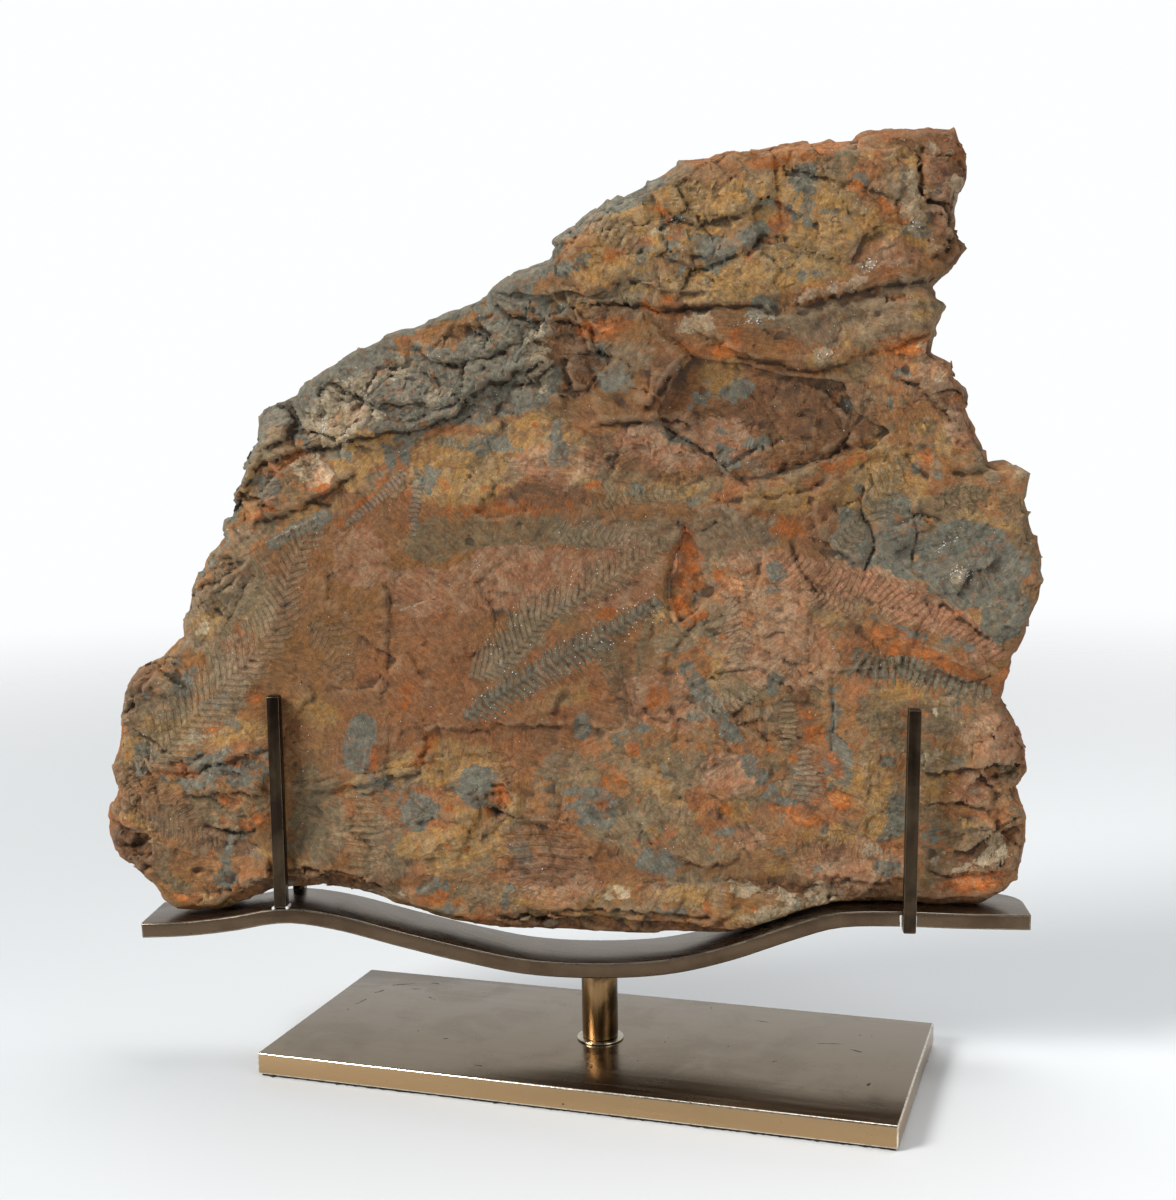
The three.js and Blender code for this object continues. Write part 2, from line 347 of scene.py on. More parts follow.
make_floor()
make_surround(seen=1.0, front=0.13, back=0.62)
add_lamp("key", (-2.6, -2.7, 2.7), (0, 0, 0.3), 1.5, 1.5, 203, (1.0, 0.98, 0.95))
add_lamp("side", (2.2, -1.2, 1.2), (0, 0, 0.3), 1.2, 1.6, 14)
add_lamp("above", (0.1, 0.3, 2.4), (0, 0, 0.2), 1.8, 1.2, 22)
print("floor, surround and 3 lamps are in place")

# %% [markdown]
# ## Bronze
# The whole stand is patinated bronze-coloured metal. It is brown where it was left dark,
# golden where the edges were rubbed bright, and finely brushed. The middle of each rounded
# edge is painted lighter, a painted highlight line, and on the bar all that faces up is
# painted lighter, painted light from above. One function writes the finish: brushing is a
# noise stretched along one direction, patina is a cloudy noise that darkens and dulls, and
# small nicks come from a fine cell pattern. The pieces differ only in how dark they are and
# which way the brushing runs.

# %% Bronze finish
NICK_DARK = (0.03, 0.022, 0.015)


def bronze(name, bright, dark, gloss, brushing, patina=(0.42, 0.7), strength=1.0,
           rubbed_highlight=None, top=None, side=None, marks=()):
    """The rubbed edge colour is that of the rounded edges: rubbed bright, and painted lighter as
    a highlight line. `top` is a lighter colour painted on all that faces up, painted light
    from above. `side` is a height in millimetres and the colour below it, and `marks` are
    dark ovals: x, y, half length, half width and turn."""
    recipe = Recipe(name)
    brushed = recipe.noise(9, detail=3, source=recipe.mapped(stretch=brushing))
    cloud = recipe.noise(38, detail=5, rough=0.6, warp=0.4)
    grain = recipe.noise(2.2, detail=2)
    shade = recipe.ramp(cloud, *patina)
    color = recipe.blend(shade, bright, dark)
    if side:
        level = recipe.add("SeparateXYZ", {0: recipe.place}).outputs[2]
        below = recipe.ramp(level, (side[0] - 1.2) * MM, (side[0] - 0.4) * MM, 1.0, 0.0)
        color = recipe.blend(below, color, side[1])
    # Painted light from above: all that faces up is blended to the lighter top colour.
    if top:
        facing = recipe.add("SeparateXYZ", {0: recipe.add("TexCoord").outputs["Normal"]})
        color = recipe.blend(recipe.ramp(facing.outputs[2], 0.4, 0.8), color, top)
    streak = recipe.ramp(brushed, 0.3, 0.75, 1 - 0.18 * strength, 1 + 0.16 * strength)
    color = recipe.scaled(color, streak)
    cells = recipe.add("TexVoronoi", {"Vector": recipe.place, "Scale": 95.0})
    sparse = recipe.ramp(recipe.noise(26, detail=2), 0.55, 0.64)
    nicks = recipe.times(recipe.ramp(cells.outputs["Distance"], 0.10, 0.04), sparse)
    for x, y, long, short, turn in marks:
        spot = recipe.add("Mapping", {
            "Vector": recipe.place, "Location": (x * MM, y * MM, 0),
            "Rotation": (0, 0, math.radians(turn)), "Scale": (long * MM, short * MM, 1),
        }, vector_type="TEXTURE").outputs[0]
        reach = recipe.add("VectorMath", {0: spot}, operation="LENGTH").outputs["Value"]
        ragged = recipe.plus(reach, recipe.ramp(grain, 0.3, 0.7, -0.45, 0.45))
        nicks = recipe.calc("MAXIMUM", nicks, recipe.ramp(ragged, 1.0, 0.7))
    color = recipe.blend(recipe.times(nicks, 0.75), color, NICK_DARK)
    rough = recipe.plus(recipe.ramp(shade, 0, 1, gloss, gloss + 0.04),
                        recipe.ramp(brushed, 0.3, 0.7, -0.04, 0.05), recipe.times(nicks, 0.3))
    # Painted highlight: the middle of each rounded edge takes the lighter rubbed edge colour.
    if rubbed_highlight:
        worn = recipe.ramp(grain, 0.3, 0.55, 0.35, 1.0)
        color = recipe.blend(recipe.times(recipe.attribute("edge")[0], worn), color, rubbed_highlight)
    height = recipe.plus(recipe.times(brushed, strength), recipe.times(grain, 0.5),
                         recipe.times(nicks, -2.0))
    recipe.set(Base_Color=color, Metallic=1.0, Roughness=rough,
               Normal=recipe.bump(height, 0.05, 0.35))
    return recipe.material


# Dark scratches and smudges on the base: x, y, half length, half width, turn
BASE_MARKS = [
    (-172, 62, 9, 0.9, 28), (-160, 55, 6, 0.7, 10), (-182, 44, 5, 0.8, 60), (-150, 70, 3, 1.0, 0),
    (-186, 20, 7, 0.6, 80), (-140, 40, 4, 0.6, 150), (150, 30, 8, 0.6, 12), (168, 22, 5, 0.8, 160),
    (120, -10, 3, 0.7, 40), (60, -60, 6, 0.5, 8), (-60, -68, 4, 0.7, 0), (10, -50, 3, 0.6, 90),
    (184, -30, 3, 0.9, 80), (-100, -30, 2, 0.8, 20), (98, 58, 5, 0.5, 170), (-30, 60, 3, 0.5, 30),
]
plate_low, plate_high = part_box("base_plate")
BASE_BRONZE = bronze(
    "bronze_base", (0.345, 0.280, 0.200), (0.295, 0.235, 0.165), 0.22, (0.12, 1.6, 1.6),
    strength=0.25, rubbed_highlight=(0.92, 0.86, 0.74), marks=BASE_MARKS,
    side=(plate_high.z / MM, (0.43, 0.285, 0.15)))
# The bar's lighter top colour is painted light from above.
BAR_BRONZE = bronze(
    "bronze_bar", (0.145, 0.098, 0.062), (0.105, 0.068, 0.043), 0.27, (0.15, 2, 2),
    strength=0.5, rubbed_highlight=(0.70, 0.62, 0.48), top=(0.275, 0.232, 0.185))
PRONG_BRONZE = bronze(
    "bronze_prong", (0.080, 0.055, 0.034), (0.032, 0.022, 0.015), 0.33, (2, 2, 0.15),
    patina=(0.35, 0.6), rubbed_highlight=(0.30, 0.24, 0.17))
POST_BRONZE = bronze(
    "bronze_post", (0.31, 0.185, 0.085), (0.070, 0.046, 0.022), 0.25, (3, 3, 0.12),
    patina=(0.4, 0.56))
print("bronze finishes written")

# %% [markdown]
# ## Base plate, felt and washer
# The base is a heavy flat plate with softly broken edges, along which a bright highlight line is
# painted.
# Under it lies a thin black underlay with a cut, ragged edge. The plate is a box whose edges
# are rounded in three steps. The felt is an outline of many short steps, each moved in or
# out a little, given its thickness.

# %% Helpers for plain metal shapes


def add_piece(name, mesh, body, slot, *nodes):
    """Puts a finished mesh in the scene as a piece that stands for CAD nodes."""
    piece = bpy.data.objects.new(name, mesh)
    scene.collection.objects.link(piece)
    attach(piece, body)
    if nodes:
        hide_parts(*nodes)
    print(f"{name}: {len(mesh.polygons)} faces")
    return piece


def shade(mesh, material, angle=28.0):
    mesh.materials.clear()
    mesh.materials.append(material)
    mesh.polygons.foreach_set("use_smooth", [True] * len(mesh.polygons))
    mesh.set_sharp_from_angle(angle=math.radians(angle))


def mesh_from(form, name):
    bmesh.ops.recalc_face_normals(form, faces=form.faces)
    mesh = bpy.data.meshes.new(name)
    form.to_mesh(mesh)
    form.free()
    return mesh


def round_edges(form, radius, steps, limit=20.0):
    """Rounds sharp edges and marks the middle of each rounding as edge = 1, so that the
    finish can paint it lighter: rubbed bright, and a painted highlight line."""
    layer = form.verts.layers.float.new("edge")
    sharp = [e for e in form.edges if e.is_manifold and math.degrees(e.calc_face_angle()) > limit]
    done = bmesh.ops.bevel(form, geom=sharp, offset=radius, segments=steps, profile=0.5,
                           affect="EDGES", clamp_overlap=True)
    rounding = set(done["faces"])
    for vertex in done["verts"]:
        vertex[layer] = float(all(face in rounding for face in vertex.link_faces))


def rounded_box(name, low, high, radius, steps=3):
    form = bmesh.new()
    bmesh.ops.create_cube(form, size=1.0)
    low, high = Vector(low), Vector(high)
    for vertex in form.verts:
        share = vertex.co + Vector((0.5, 0.5, 0.5))
        vertex.co = low + Vector(a * b for a, b in zip(share, high - low))
    bmesh.ops.recalc_face_normals(form, faces=form.faces)
    round_edges(form, radius, steps)
    return mesh_from(form, name)


def lathe(name, profile, steps=96):
    """Turns (radius, height) pairs about the post's axis into a closed shape."""
    form = bmesh.new()
    rings = []
    for radius, height in profile:
        if radius < 1e-6:
            rings.append([form.verts.new((0, 0, height))] * steps)
            continue
        angles = (2 * math.pi * i / steps for i in range(steps))
        rings.append([
            form.verts.new((radius * math.cos(a), radius * math.sin(a), height))
            for a in angles
        ])
    for lower, upper in zip(rings, rings[1:]):
        for i in range(steps):
            j = (i + 1) % steps
            corners = [lower[i], lower[j], upper[j], upper[i]]
            form.faces.new(list(dict.fromkeys(corners)))
    return mesh_from(form, name)


# %% Base plate and felt
EDGE_ROUND = 1.3 * MM

plate = rounded_box("base_plate_bronze", plate_low, plate_high, EDGE_ROUND)
shade(plate, BASE_BRONZE, 60)
add_piece("base_plate_bronze", plate, "base", "bronze_base", "base_plate")


def felt_outline(low, high, step, wander, seed):
    """Points round a rectangle, each moved in or out at random, with a few tufts."""
    rng = np.random.default_rng(seed)
    corners = [(low.x, low.y), (high.x, low.y), (high.x, high.y), (low.x, high.y)]
    points = []
    for (ax, ay), (bx, by) in zip(corners, corners[1:] + corners[:1]):
        count = int(math.hypot(bx - ax, by - ay) / step)
        out = Vector((by - ay, ax - bx)).normalized()
        for i in range(count):
            move = rng.normal(0, wander) + (rng.random() > 0.94) * rng.uniform(1, 2.4) * MM
            t = i / count
            points.append((ax + (bx - ax) * t + out.x * move, ay + (by - ay) * t + out.y * move))
    return points


def make_felt():
    low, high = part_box("base_felt")
    form = bmesh.new()
    outline = felt_outline(low, high, 2.2 * MM, 0.45 * MM, seed=5)
    face = form.faces.new([form.verts.new((x, y, low.z)) for x, y in outline])
    grown = bmesh.ops.extrude_face_region(form, geom=[face])
    for item in grown["geom"]:
        if isinstance(item, bmesh.types.BMVert):
            item.co.z = high.z
    mesh = mesh_from(form, "felt_underlay")
    recipe = Recipe("black_felt")
    fibre = recipe.noise(1.4, detail=4, rough=0.7, source=recipe.mapped(stretch=(1, 1, 0.4)))
    tone = recipe.ramp(fibre, 0.3, 0.75)
    recipe.set(
        Base_Color=recipe.blend(tone, (0.008, 0.007, 0.006), (0.045, 0.038, 0.032)),
        Roughness=0.95, Normal=recipe.bump(fibre, 0.3, 0.8), Sheen_Weight=0.2)
    shade(mesh, recipe.material, 40)
    return mesh


add_piece("felt_underlay", make_felt(), "base", "felt", "base_felt")

# %% [markdown]
# ## Post and swivel washer
# The post is a turned rod that ends in a small step, standing on a thin bright washer. Both
# are lathed from a profile with rounded corners. The washer is worn bright, so it shows as
# a thin light ring round the post's foot.

# %% Lathed post and washer


def round_shoulder(radius, height, corner, upper):
    """Three points that round a corner of a lathe profile."""
    sign = 1 if upper else -1
    arc = []
    for i in range(4):
        a = math.pi / 2 * i / 3
        arc.append((radius - corner + corner * math.cos(a), height - sign * corner
                    + sign * corner * math.sin(a)))
    return arc if upper else arc[::-1]


def rod_profile(low, high, corner):
    radius = (high.x - low.x) / 2
    return [(0, low.z), *round_shoulder(radius, low.z, corner, False),
            *round_shoulder(radius, high.z, corner, True), (0, high.z)]


WASHER_METAL = bronze(
    "washer_metal", (0.72, 0.66, 0.54), (0.5, 0.43, 0.32), 0.22, (1, 1, 1))
# Piece, CAD node, corner in millimetres, finish, body and slot
for name, node, corner, finish, body, slot in (
        ("post_bronze", "post", 0.8, POST_BRONZE, "turntable", "bronze_bar"),
        ("washer_bright", "swivel_washer", 0.35, WASHER_METAL, "base", "washer_metal")):
    turned = lathe(name, rod_profile(*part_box(node), corner * MM))
    shade(turned, finish, 50)
    add_piece(name, turned, body, slot, node)

# %% [markdown]
# ## Cradle and prongs
# The cradle is one flat bar bent into a wave, and four square prongs hold the stone. The
# imported shapes are right, but each is a heap of loose triangles. A copy is merged, its flat
# faces are dissolved into large ones, and its edges are rounded. The middle of each rounding
# is painted lighter, a painted highlight that gives the thin bright lines along the bar.

# %% Smooth copies of the bent and square bars


def refined(node, name, radius):
    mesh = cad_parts[node].data.copy()
    mesh.name = name
    form = bmesh.new()
    form.from_mesh(mesh)
    bmesh.ops.remove_doubles(form, verts=form.verts, dist=1e-6)
    bmesh.ops.dissolve_limit(form, angle_limit=math.radians(0.6), verts=form.verts,
                             edges=form.edges)
    round_edges(form, radius, 2)
    form.to_mesh(mesh)
    form.free()
    return mesh


PRONGS = ("front_prong_left", "front_prong_right", "rear_prong_left", "rear_prong_right")
BAR_ROUND, PRONG_ROUND = 0.45 * MM, 0.25 * MM
for node in ("cradle", *PRONGS):
    is_prong = node in PRONGS
    mesh = refined(node, node + "_bronze", PRONG_ROUND if is_prong else BAR_ROUND)
    shade(mesh, PRONG_BRONZE if is_prong else BAR_BRONZE, 40)
    add_piece(node + "_bronze", mesh, "turntable", "bronze_bar", node)

# %% [markdown]
# ## The stone, part one: what shapes it
# The slab split along its beds, so its face is a set of nearly flat steps with broken edges.
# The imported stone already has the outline, the large beds and the hollows. A fine skin is
# grown over it as a voxel mesh, and every point of that skin is then moved: a little along
# the face, which frays the straight edges, and in or out of the face by a height that adds
# up ledges, cracks, fern ribs and flaking. Sculpting by hand would give the same kind of
# surface, but a height written as rules stays exact and can be changed one ledge at a time.
# All places are millimetres along the cradle (X) and above the floor (Z).

# %% Random relief and distances to drawn lines


def soft_step(value, low, high):
    t = np.clip((value - low) / (high - low), 0.0, 1.0)
    return t * t * (3.0 - 2.0 * t)


def lattice(points, size, seed):
    """Smooth random values from -1 to 1, with a grain of `size` millimetres."""
    table = np.random.default_rng(seed).uniform(-1, 1, 32 ** 3).astype(np.float32)
    spot = points / size
    cell = np.floor(spot).astype(np.int64)
    t = spot - cell
    t = t * t * (3.0 - 2.0 * t)
    total = np.zeros(len(points))
    for corner in range(8):
        i, j, k = corner & 1, corner >> 1 & 1, corner >> 2
        index = (((cell[:, 0] + i) & 31) * 32 + ((cell[:, 1] + j) & 31)) * 32
        index += (cell[:, 2] + k) & 31
        weight = 1.0
        for axis, side in enumerate((i, j, k)):
            weight = weight * (t[:, axis] if side else 1.0 - t[:, axis])
        total += weight * table[index]
    return total


def cloud(points, size, seed, octaves=3, gain=0.5):
    total, strength, reach = 0.0, 1.0, 0.0
    for octave in range(octaves):
        total = total + strength * lattice(points, size * 0.5 ** octave, seed + octave)
        reach += strength
        strength *= gain
    return total / reach


def drawn(path, per_leg=4):
    """The points of a smooth curve through `path`."""
    points = np.array(path, float)
    if len(points) < 3:
        return points
    ends = np.vstack([2 * points[0] - points[1], points, 2 * points[-1] - points[-2]])
    curve = []
    for i in range(1, len(ends) - 2):
        a, b, c, d = ends[i - 1:i + 3]
        for t in np.arange(per_leg) / per_leg:
            curve.append(0.5 * (2 * b + (c - a) * t + (2 * a - 5 * b + 4 * c - d) * t ** 2
                                + (3 * b - a - 3 * c + d) * t ** 3))
    return np.array(curve + [points[-1]])


def along(path, x, z):
    """Distance to a line, signed distance to its left, length run along it, and its length."""
    best = np.full(x.shape, 1e9)
    side, run = np.zeros(x.shape), np.zeros(x.shape)
    done = 0.0
    for (ax, az), (bx, bz) in zip(path, path[1:]):
        dx, dz = bx - ax, bz - az
        length = math.hypot(dx, dz)
        t = np.clip(((x - ax) * dx + (z - az) * dz) / length ** 2, 0, 1)
        px, pz = x - ax - t * dx, z - az - t * dz
        away = np.hypot(px, pz)
        near = away < best
        best = np.where(near, away, best)
        side = np.where(near, (dx * pz - dz * px) / length, side)
        run = np.where(near, done + t * length, run)
        done += length
    return best, side, run, done


def near_line(path, x, z, margin, shaken_x=None, shaken_z=None):
    """Which points lie near a line, and `along` for them, at their shaken places if given."""
    low, high = path.min(0) - margin, path.max(0) + margin
    at = np.flatnonzero((x > low[0]) & (x < high[0]) & (z > low[1]) & (z < high[1]))
    if shaken_x is not None:
        x, z = shaken_x, shaken_z
    return at, *along(path, x[at], z[at])


def patch_distance(x, z, cx, cz, rx, rz, tilt=0):
    """0 at the centre of a tilted oval patch and 1 on its rim."""
    c, s = math.cos(math.radians(tilt)), math.sin(math.radians(tilt))
    u, v = x - cx, z - cz
    return np.hypot((u * c + v * s) / rx, (v * c - u * s) / rz)


def shards(x, z, size, seed, stretch=1.5, tilt=-12):
    """Splits the face into angular shards. For each point: its shard's centre, three random
    numbers of that shard, and how far the point is from the shard's border."""
    c, s = math.cos(math.radians(tilt)), math.sin(math.radians(tilt))
    u, v = (x * c + z * s) / (size * stretch), (z * c - x * s) / size
    cu, cv = np.floor(u).astype(np.int64), np.floor(v).astype(np.int64)
    table = np.random.default_rng(seed).random((64, 64, 5))
    first, second = np.full(x.shape, 9.0), np.full(x.shape, 9.0)
    chosen = np.zeros((len(x), 5))
    middle_u, middle_v = np.zeros(x.shape), np.zeros(x.shape)
    for du in (-1, 0, 1):
        for dv in (-1, 0, 1):
            draw = table[(cu + du) & 63, (cv + dv) & 63]
            pu, pv = cu + du + draw[:, 0], cv + dv + draw[:, 1]
            away = np.hypot(u - pu, v - pv)
            near = away < first
            second = np.where(near, first, np.minimum(second, away))
            first = np.where(near, away, first)
            middle_u, middle_v = np.where(near, pu, middle_u), np.where(near, pv, middle_v)
            chosen = np.where(near[:, None], draw, chosen)
    middle_u, middle_v = middle_u * size * stretch, middle_v * size
    cx, cz = middle_u * c - middle_v * s, middle_u * s + middle_v * c
    return cx, cz, chosen[:, 2:] * 2 - 1, (second - first) * size


def facets(x, z, size, seed):
    """Relief from -1 to 1 of a face broken into shards, each lying at its own slant."""
    cx, cz, draw, border = shards(x, z, size, seed)
    slant = draw[:, 1] * (x - cx) + draw[:, 2] * (z - cz)
    return 0.55 * draw[:, 0] + slant / size - 0.25 * np.exp(-(border / 0.9) ** 2)


# %% [markdown]
# ### Ledges, cracks and rough zones
# A ledge is a line along which one bed breaks off: one side stands proud and falls back to
# the face over some distance. A crack is a narrow groove. Rough zones are where the beds
# tore instead of splitting, so they get deep flaking, and the rest of the face stays calm.

# %% Ledges, cracks, slots and rough zones
# Each ledge: its line, a direction that points to the proud side, height, and fall-back
LEDGES = [
    ([(-200, 188), (-180, 188), (-162, 192), (-140, 196), (-121, 199), (-115, 205), (-106, 227),
      (-92, 229), (-74, 228), (-62, 232), (-40, 231), (0, 232)], (0, 1), 0.9, 22),
    ([(-120, 421), (-86, 432), (-70, 448), (-23, 466)], (-0.3, 1), 2.6, 16),
    ([(-40, 448), (-22, 465)], (-1, 0.3), 2.2, 9),
    ([(-240, 360), (-226, 384), (-212, 402), (-185, 410), (-150, 418), (-100, 424)],
     (-0.4, 1), 2.2, 14),
    ([(-226, 362), (-196, 371), (-170, 384), (-148, 398)], (-0.2, 1), 1.4, 9),
    ([(65, 468), (53, 455), (42, 441), (33, 429)], (-1, 0.6), 2.8, 20),
    ([(0, 424), (45, 428), (70, 424)], (0, 1), 1.6, 12),
    ([(90, 385), (120, 391), (150, 401), (190, 410)], (0, -1), 1.7, 14),
    ([(66, 371), (92, 374), (130, 378), (168, 392)], (0, -1), 1.0, 12),
    ([(123, 495), (140, 498), (157, 502), (183, 508), (206, 510), (233, 519)], (0, 1), 1.8, 8),
    ([(-14, 503), (20, 500), (60, 496), (96, 497), (123, 495)], (0, 1), 2.0, 12),
    ([(100, 488), (140, 492), (180, 499), (214, 498)], (0, -1), 0.9, 5),
    ([(66, 484), (98, 466), (122, 461), (148, 457), (172, 465)], (0, 1), 1.7, 12),
    ([(172, 465), (190, 470), (214, 478)], (0, 1), 1.4, 9),
    ([(210, 200), (230, 201), (247, 205), (266, 204)], (0, 1), 2.2, 12),
    ([(254, 175), (257, 162), (239, 149), (229, 150)], (-0.7, 1), 2.4, 14),
    ([(212, 176), (226, 181), (256, 176)], (0, 1), 1.6, 8),
    ([(214, 136), (236, 134), (262, 138)], (0, 1), 1.8, 10),
    ([(-134, 332), (-132, 300), (-135, 268), (-138, 240)], (-1, 0), 0.6, 18),
    ([(-297, 206), (-284, 202), (-270, 199), (-245, 209), (-218, 212)], (0, 1), 1.4, 9),
    ([(-276, 187), (-262, 185), (-246, 187), (-216, 184)], (0, 1), 1.4, 7),
    ([(-257, 164), (-246, 160), (-234, 160)], (0, 1), 1.6, 9),
    ([(-320, 168), (-302, 160), (-292, 148), (-300, 140)], (1, 0.6), 2.4, 14),
    ([(-312, 230), (-300, 252), (-286, 268)], (1, -0.6), 1.5, 12),
    ([(-262, 318), (-240, 328), (-222, 342)], (1, -0.5), 1.4, 8),
    ([(-56, 391), (-70, 376), (-66, 366), (-30, 371)], (0.2, -1), 0.8, 8),
    ([(28, 262), (34, 240), (50, 232)], (1, 0), 1.0, 8),
    ([(124, 352), (134, 326), (150, 312)], (-1, -0.3), 1.0, 10),
    ([(152, 392), (140, 372), (148, 350), (172, 332)], (1, 0.2), 1.2, 12),
    ([(60, 292), (84, 300), (104, 318), (112, 340)], (0.6, -1), 0.9, 12),
    ([(76, 262), (96, 268), (118, 262), (132, 248)], (0, 1), 0.9, 10),
    ([(40, 565), (64, 548), (92, 553), (118, 560)], (0, 1), 1.3, 10),
    ([(48, 528), (70, 522), (96, 530), (112, 541)], (-0.2, 1), 1.6, 9),
    ([(120, 582), (148, 574), (176, 566), (204, 556)], (0, 1), 1.2, 10),
    ([(212, 522), (226, 536), (222, 554), (207, 560), (207, 588)], (-1, 0), 2.2, 9),
    ([(-172, 462), (-150, 447), (-128, 440), (-104, 441)], (0, 1), 1.8, 9),
    ([(-120, 484), (-96, 466), (-60, 470), (-36, 482)], (0, 1), 1.7, 10),
    ([(-62, 504), (-40, 492), (-12, 490), (12, 480)], (0, 1), 1.8, 9),
    ([(195, 452), (214, 440), (232, 421)], (1, 0.4), 1.5, 9),
    ([(-238, 120), (-200, 136), (-160, 131), (-128, 117)], (0, 1), 1.6, 10),
    ([(-60, 106), (-10, 109), (50, 106), (92, 103)], (0, 1), 1.3, 8),
    ([(128, 122), (160, 128), (196, 126)], (0, 1), 1.0, 7),
    ([(22, 178), (40, 150), (72, 138), (96, 142)], (0, 1), 0.7, 9),
    ([(-128, 165), (-96, 168), (-76, 158), (-52, 172)], (0, 1), 0.7, 9),
    ([(-70, 192), (-58, 190), (-56, 176), (-66, 168)], (1, 0), 1.2, 5),
]
# Each crack: its line, depth and half width
CRACKS = [
    ([(-199, 193), (-176, 196), (-155, 200), (-130, 203), (-112, 206)], 1.6, 0.8),
    ([(-286, 207), (-262, 203), (-240, 207), (-224, 202)], 1.4, 0.9),
    ([(172, 382), (170, 369), (177, 355), (179, 347), (174, 331)], 3.0, 1.0),
    ([(204, 361), (206, 350), (203, 337)], 2.2, 1.0),
    ([(101, 527), (106, 534), (111, 542)], 2.6, 1.2),
    ([(221, 307), (238, 296), (252, 285)], 3.4, 1.8),
    ([(230, 391), (242, 389), (254, 395)], 3.6, 2.6),
    ([(-134, 332), (-131, 300), (-135, 268), (-137, 240)], 0.35, 0.7),
    ([(-135, 302), (-146, 305), (-156, 306)], 0.8, 0.8),
    ([(-133, 303), (-118, 309), (-100, 316)], 0.6, 0.8),
    ([(-257, 329), (-244, 335), (-231, 339)], 1.8, 1.0),
    ([(-229, 331), (-237, 324), (-246, 318)], 1.8, 1.0),
    ([(-240, 299), (-230, 316), (-220, 331)], 1.4, 0.9),
    ([(-259, 165), (-247, 160), (-234, 160)], 3.0, 1.7),
    ([(-271, 201), (-264, 207), (-256, 213)], 2.6, 1.5),
    ([(-223, 212), (-218, 214), (-213, 216)], 2.4, 1.4),
    ([(-250, 343), (-243, 342), (-236, 341)], 3.0, 1.6),
    ([(-184, 377), (-176, 376), (-168, 375)], 3.0, 1.8),
    ([(-160, 442), (-155, 441), (-150, 443)], 3.0, 2.0),
    ([(-41, 165), (-42, 152), (-40, 140)], 0.9, 0.9),
    ([(153, 256), (154, 236), (153, 214)], 1.2, 1.0),
    ([(208, 590), (205, 574), (207, 556)], 2.8, 1.6),
    ([(60, 497), (66, 494), (74, 495)], 3.2, 2.4),
    ([(200, 401), (206, 394), (212, 389)], 2.6, 2.4),
    ([(56, 360), (66, 356), (80, 361)], 2.0, 1.2),
    ([(50, 298), (49, 318), (53, 342), (60, 357)], 2.6, 1.6),
    ([(-66, 190), (-62, 182), (-65, 172)], 2.4, 2.2),
    ([(252, 262), (240, 258), (226, 262)], 1.8, 1.2),
    ([(-299, 156), (-309, 150), (-318, 152)], 2.6, 2.0),
    ([(28, 256), (25, 244), (33, 232)], 1.0, 0.8),
    ([(-110, 228), (-112, 214), (-118, 203)], 1.2, 1.0),
    ([(116, 178), (130, 180), (146, 176)], 0.9, 0.8),
]
# Each rough zone: its centre, half width, half height, tilt, and how torn it is
ROUGH_ZONES = [
    (-85, 455, 90, 30, 20, 1.0), (-190, 425, 50, 34, 35, 0.95), (-225, 385, 26, 40, -30, 0.6),
    (-8, 472, 24, 34, 0, 1.0), (-12, 495, 46, 12, 5, 0.8), (128, 424, 56, 30, 8, 0.5),
    (58, 406, 62, 22, 0, 0.5), (90, 545, 118, 40, 10, 0.6), (224, 565, 16, 44, -5, 0.8),
    (222, 440, 30, 40, 0, 0.6), (-306, 178, 20, 52, 0, 0.75), (-292, 250, 24, 36, -30, 0.5),
    (-252, 320, 22, 30, -35, 0.55), (232, 345, 44, 44, 0, 0.42), (262, 190, 20, 64, 0, 0.85),
    (0, 97, 130, 8, 0, 0.9), (-185, 126, 60, 8, 0, 0.9), (150, 120, 50, 14, 0, 0.55),
    (-62, 182, 12, 16, 0, 0.8), (20, 452, 34, 20, 20, 0.3), (-255, 195, 40, 20, 5, 0.5),
    (-250, 120, 36, 14, -15, 0.6), (110, 250, 40, 60, -20, 0.32), (70, 225, 26, 22, 0, 0.35),
]
print(f"{len(LEDGES)} ledges, {len(CRACKS)} cracks, {len(ROUGH_ZONES)} rough zones")

# %% [markdown]
# ### Fern fronds
# A frond is a stalk with a comb of leaflets on each side. The relief and the colour both
# need to know, at each point near a frond, how far along the comb it lies. That is the
# phase: it grows by one from leaflet to leaflet, and it lags behind towards the tips, so
# the leaflets slant. Mesh and finish share this one number, so ribs and colour agree.

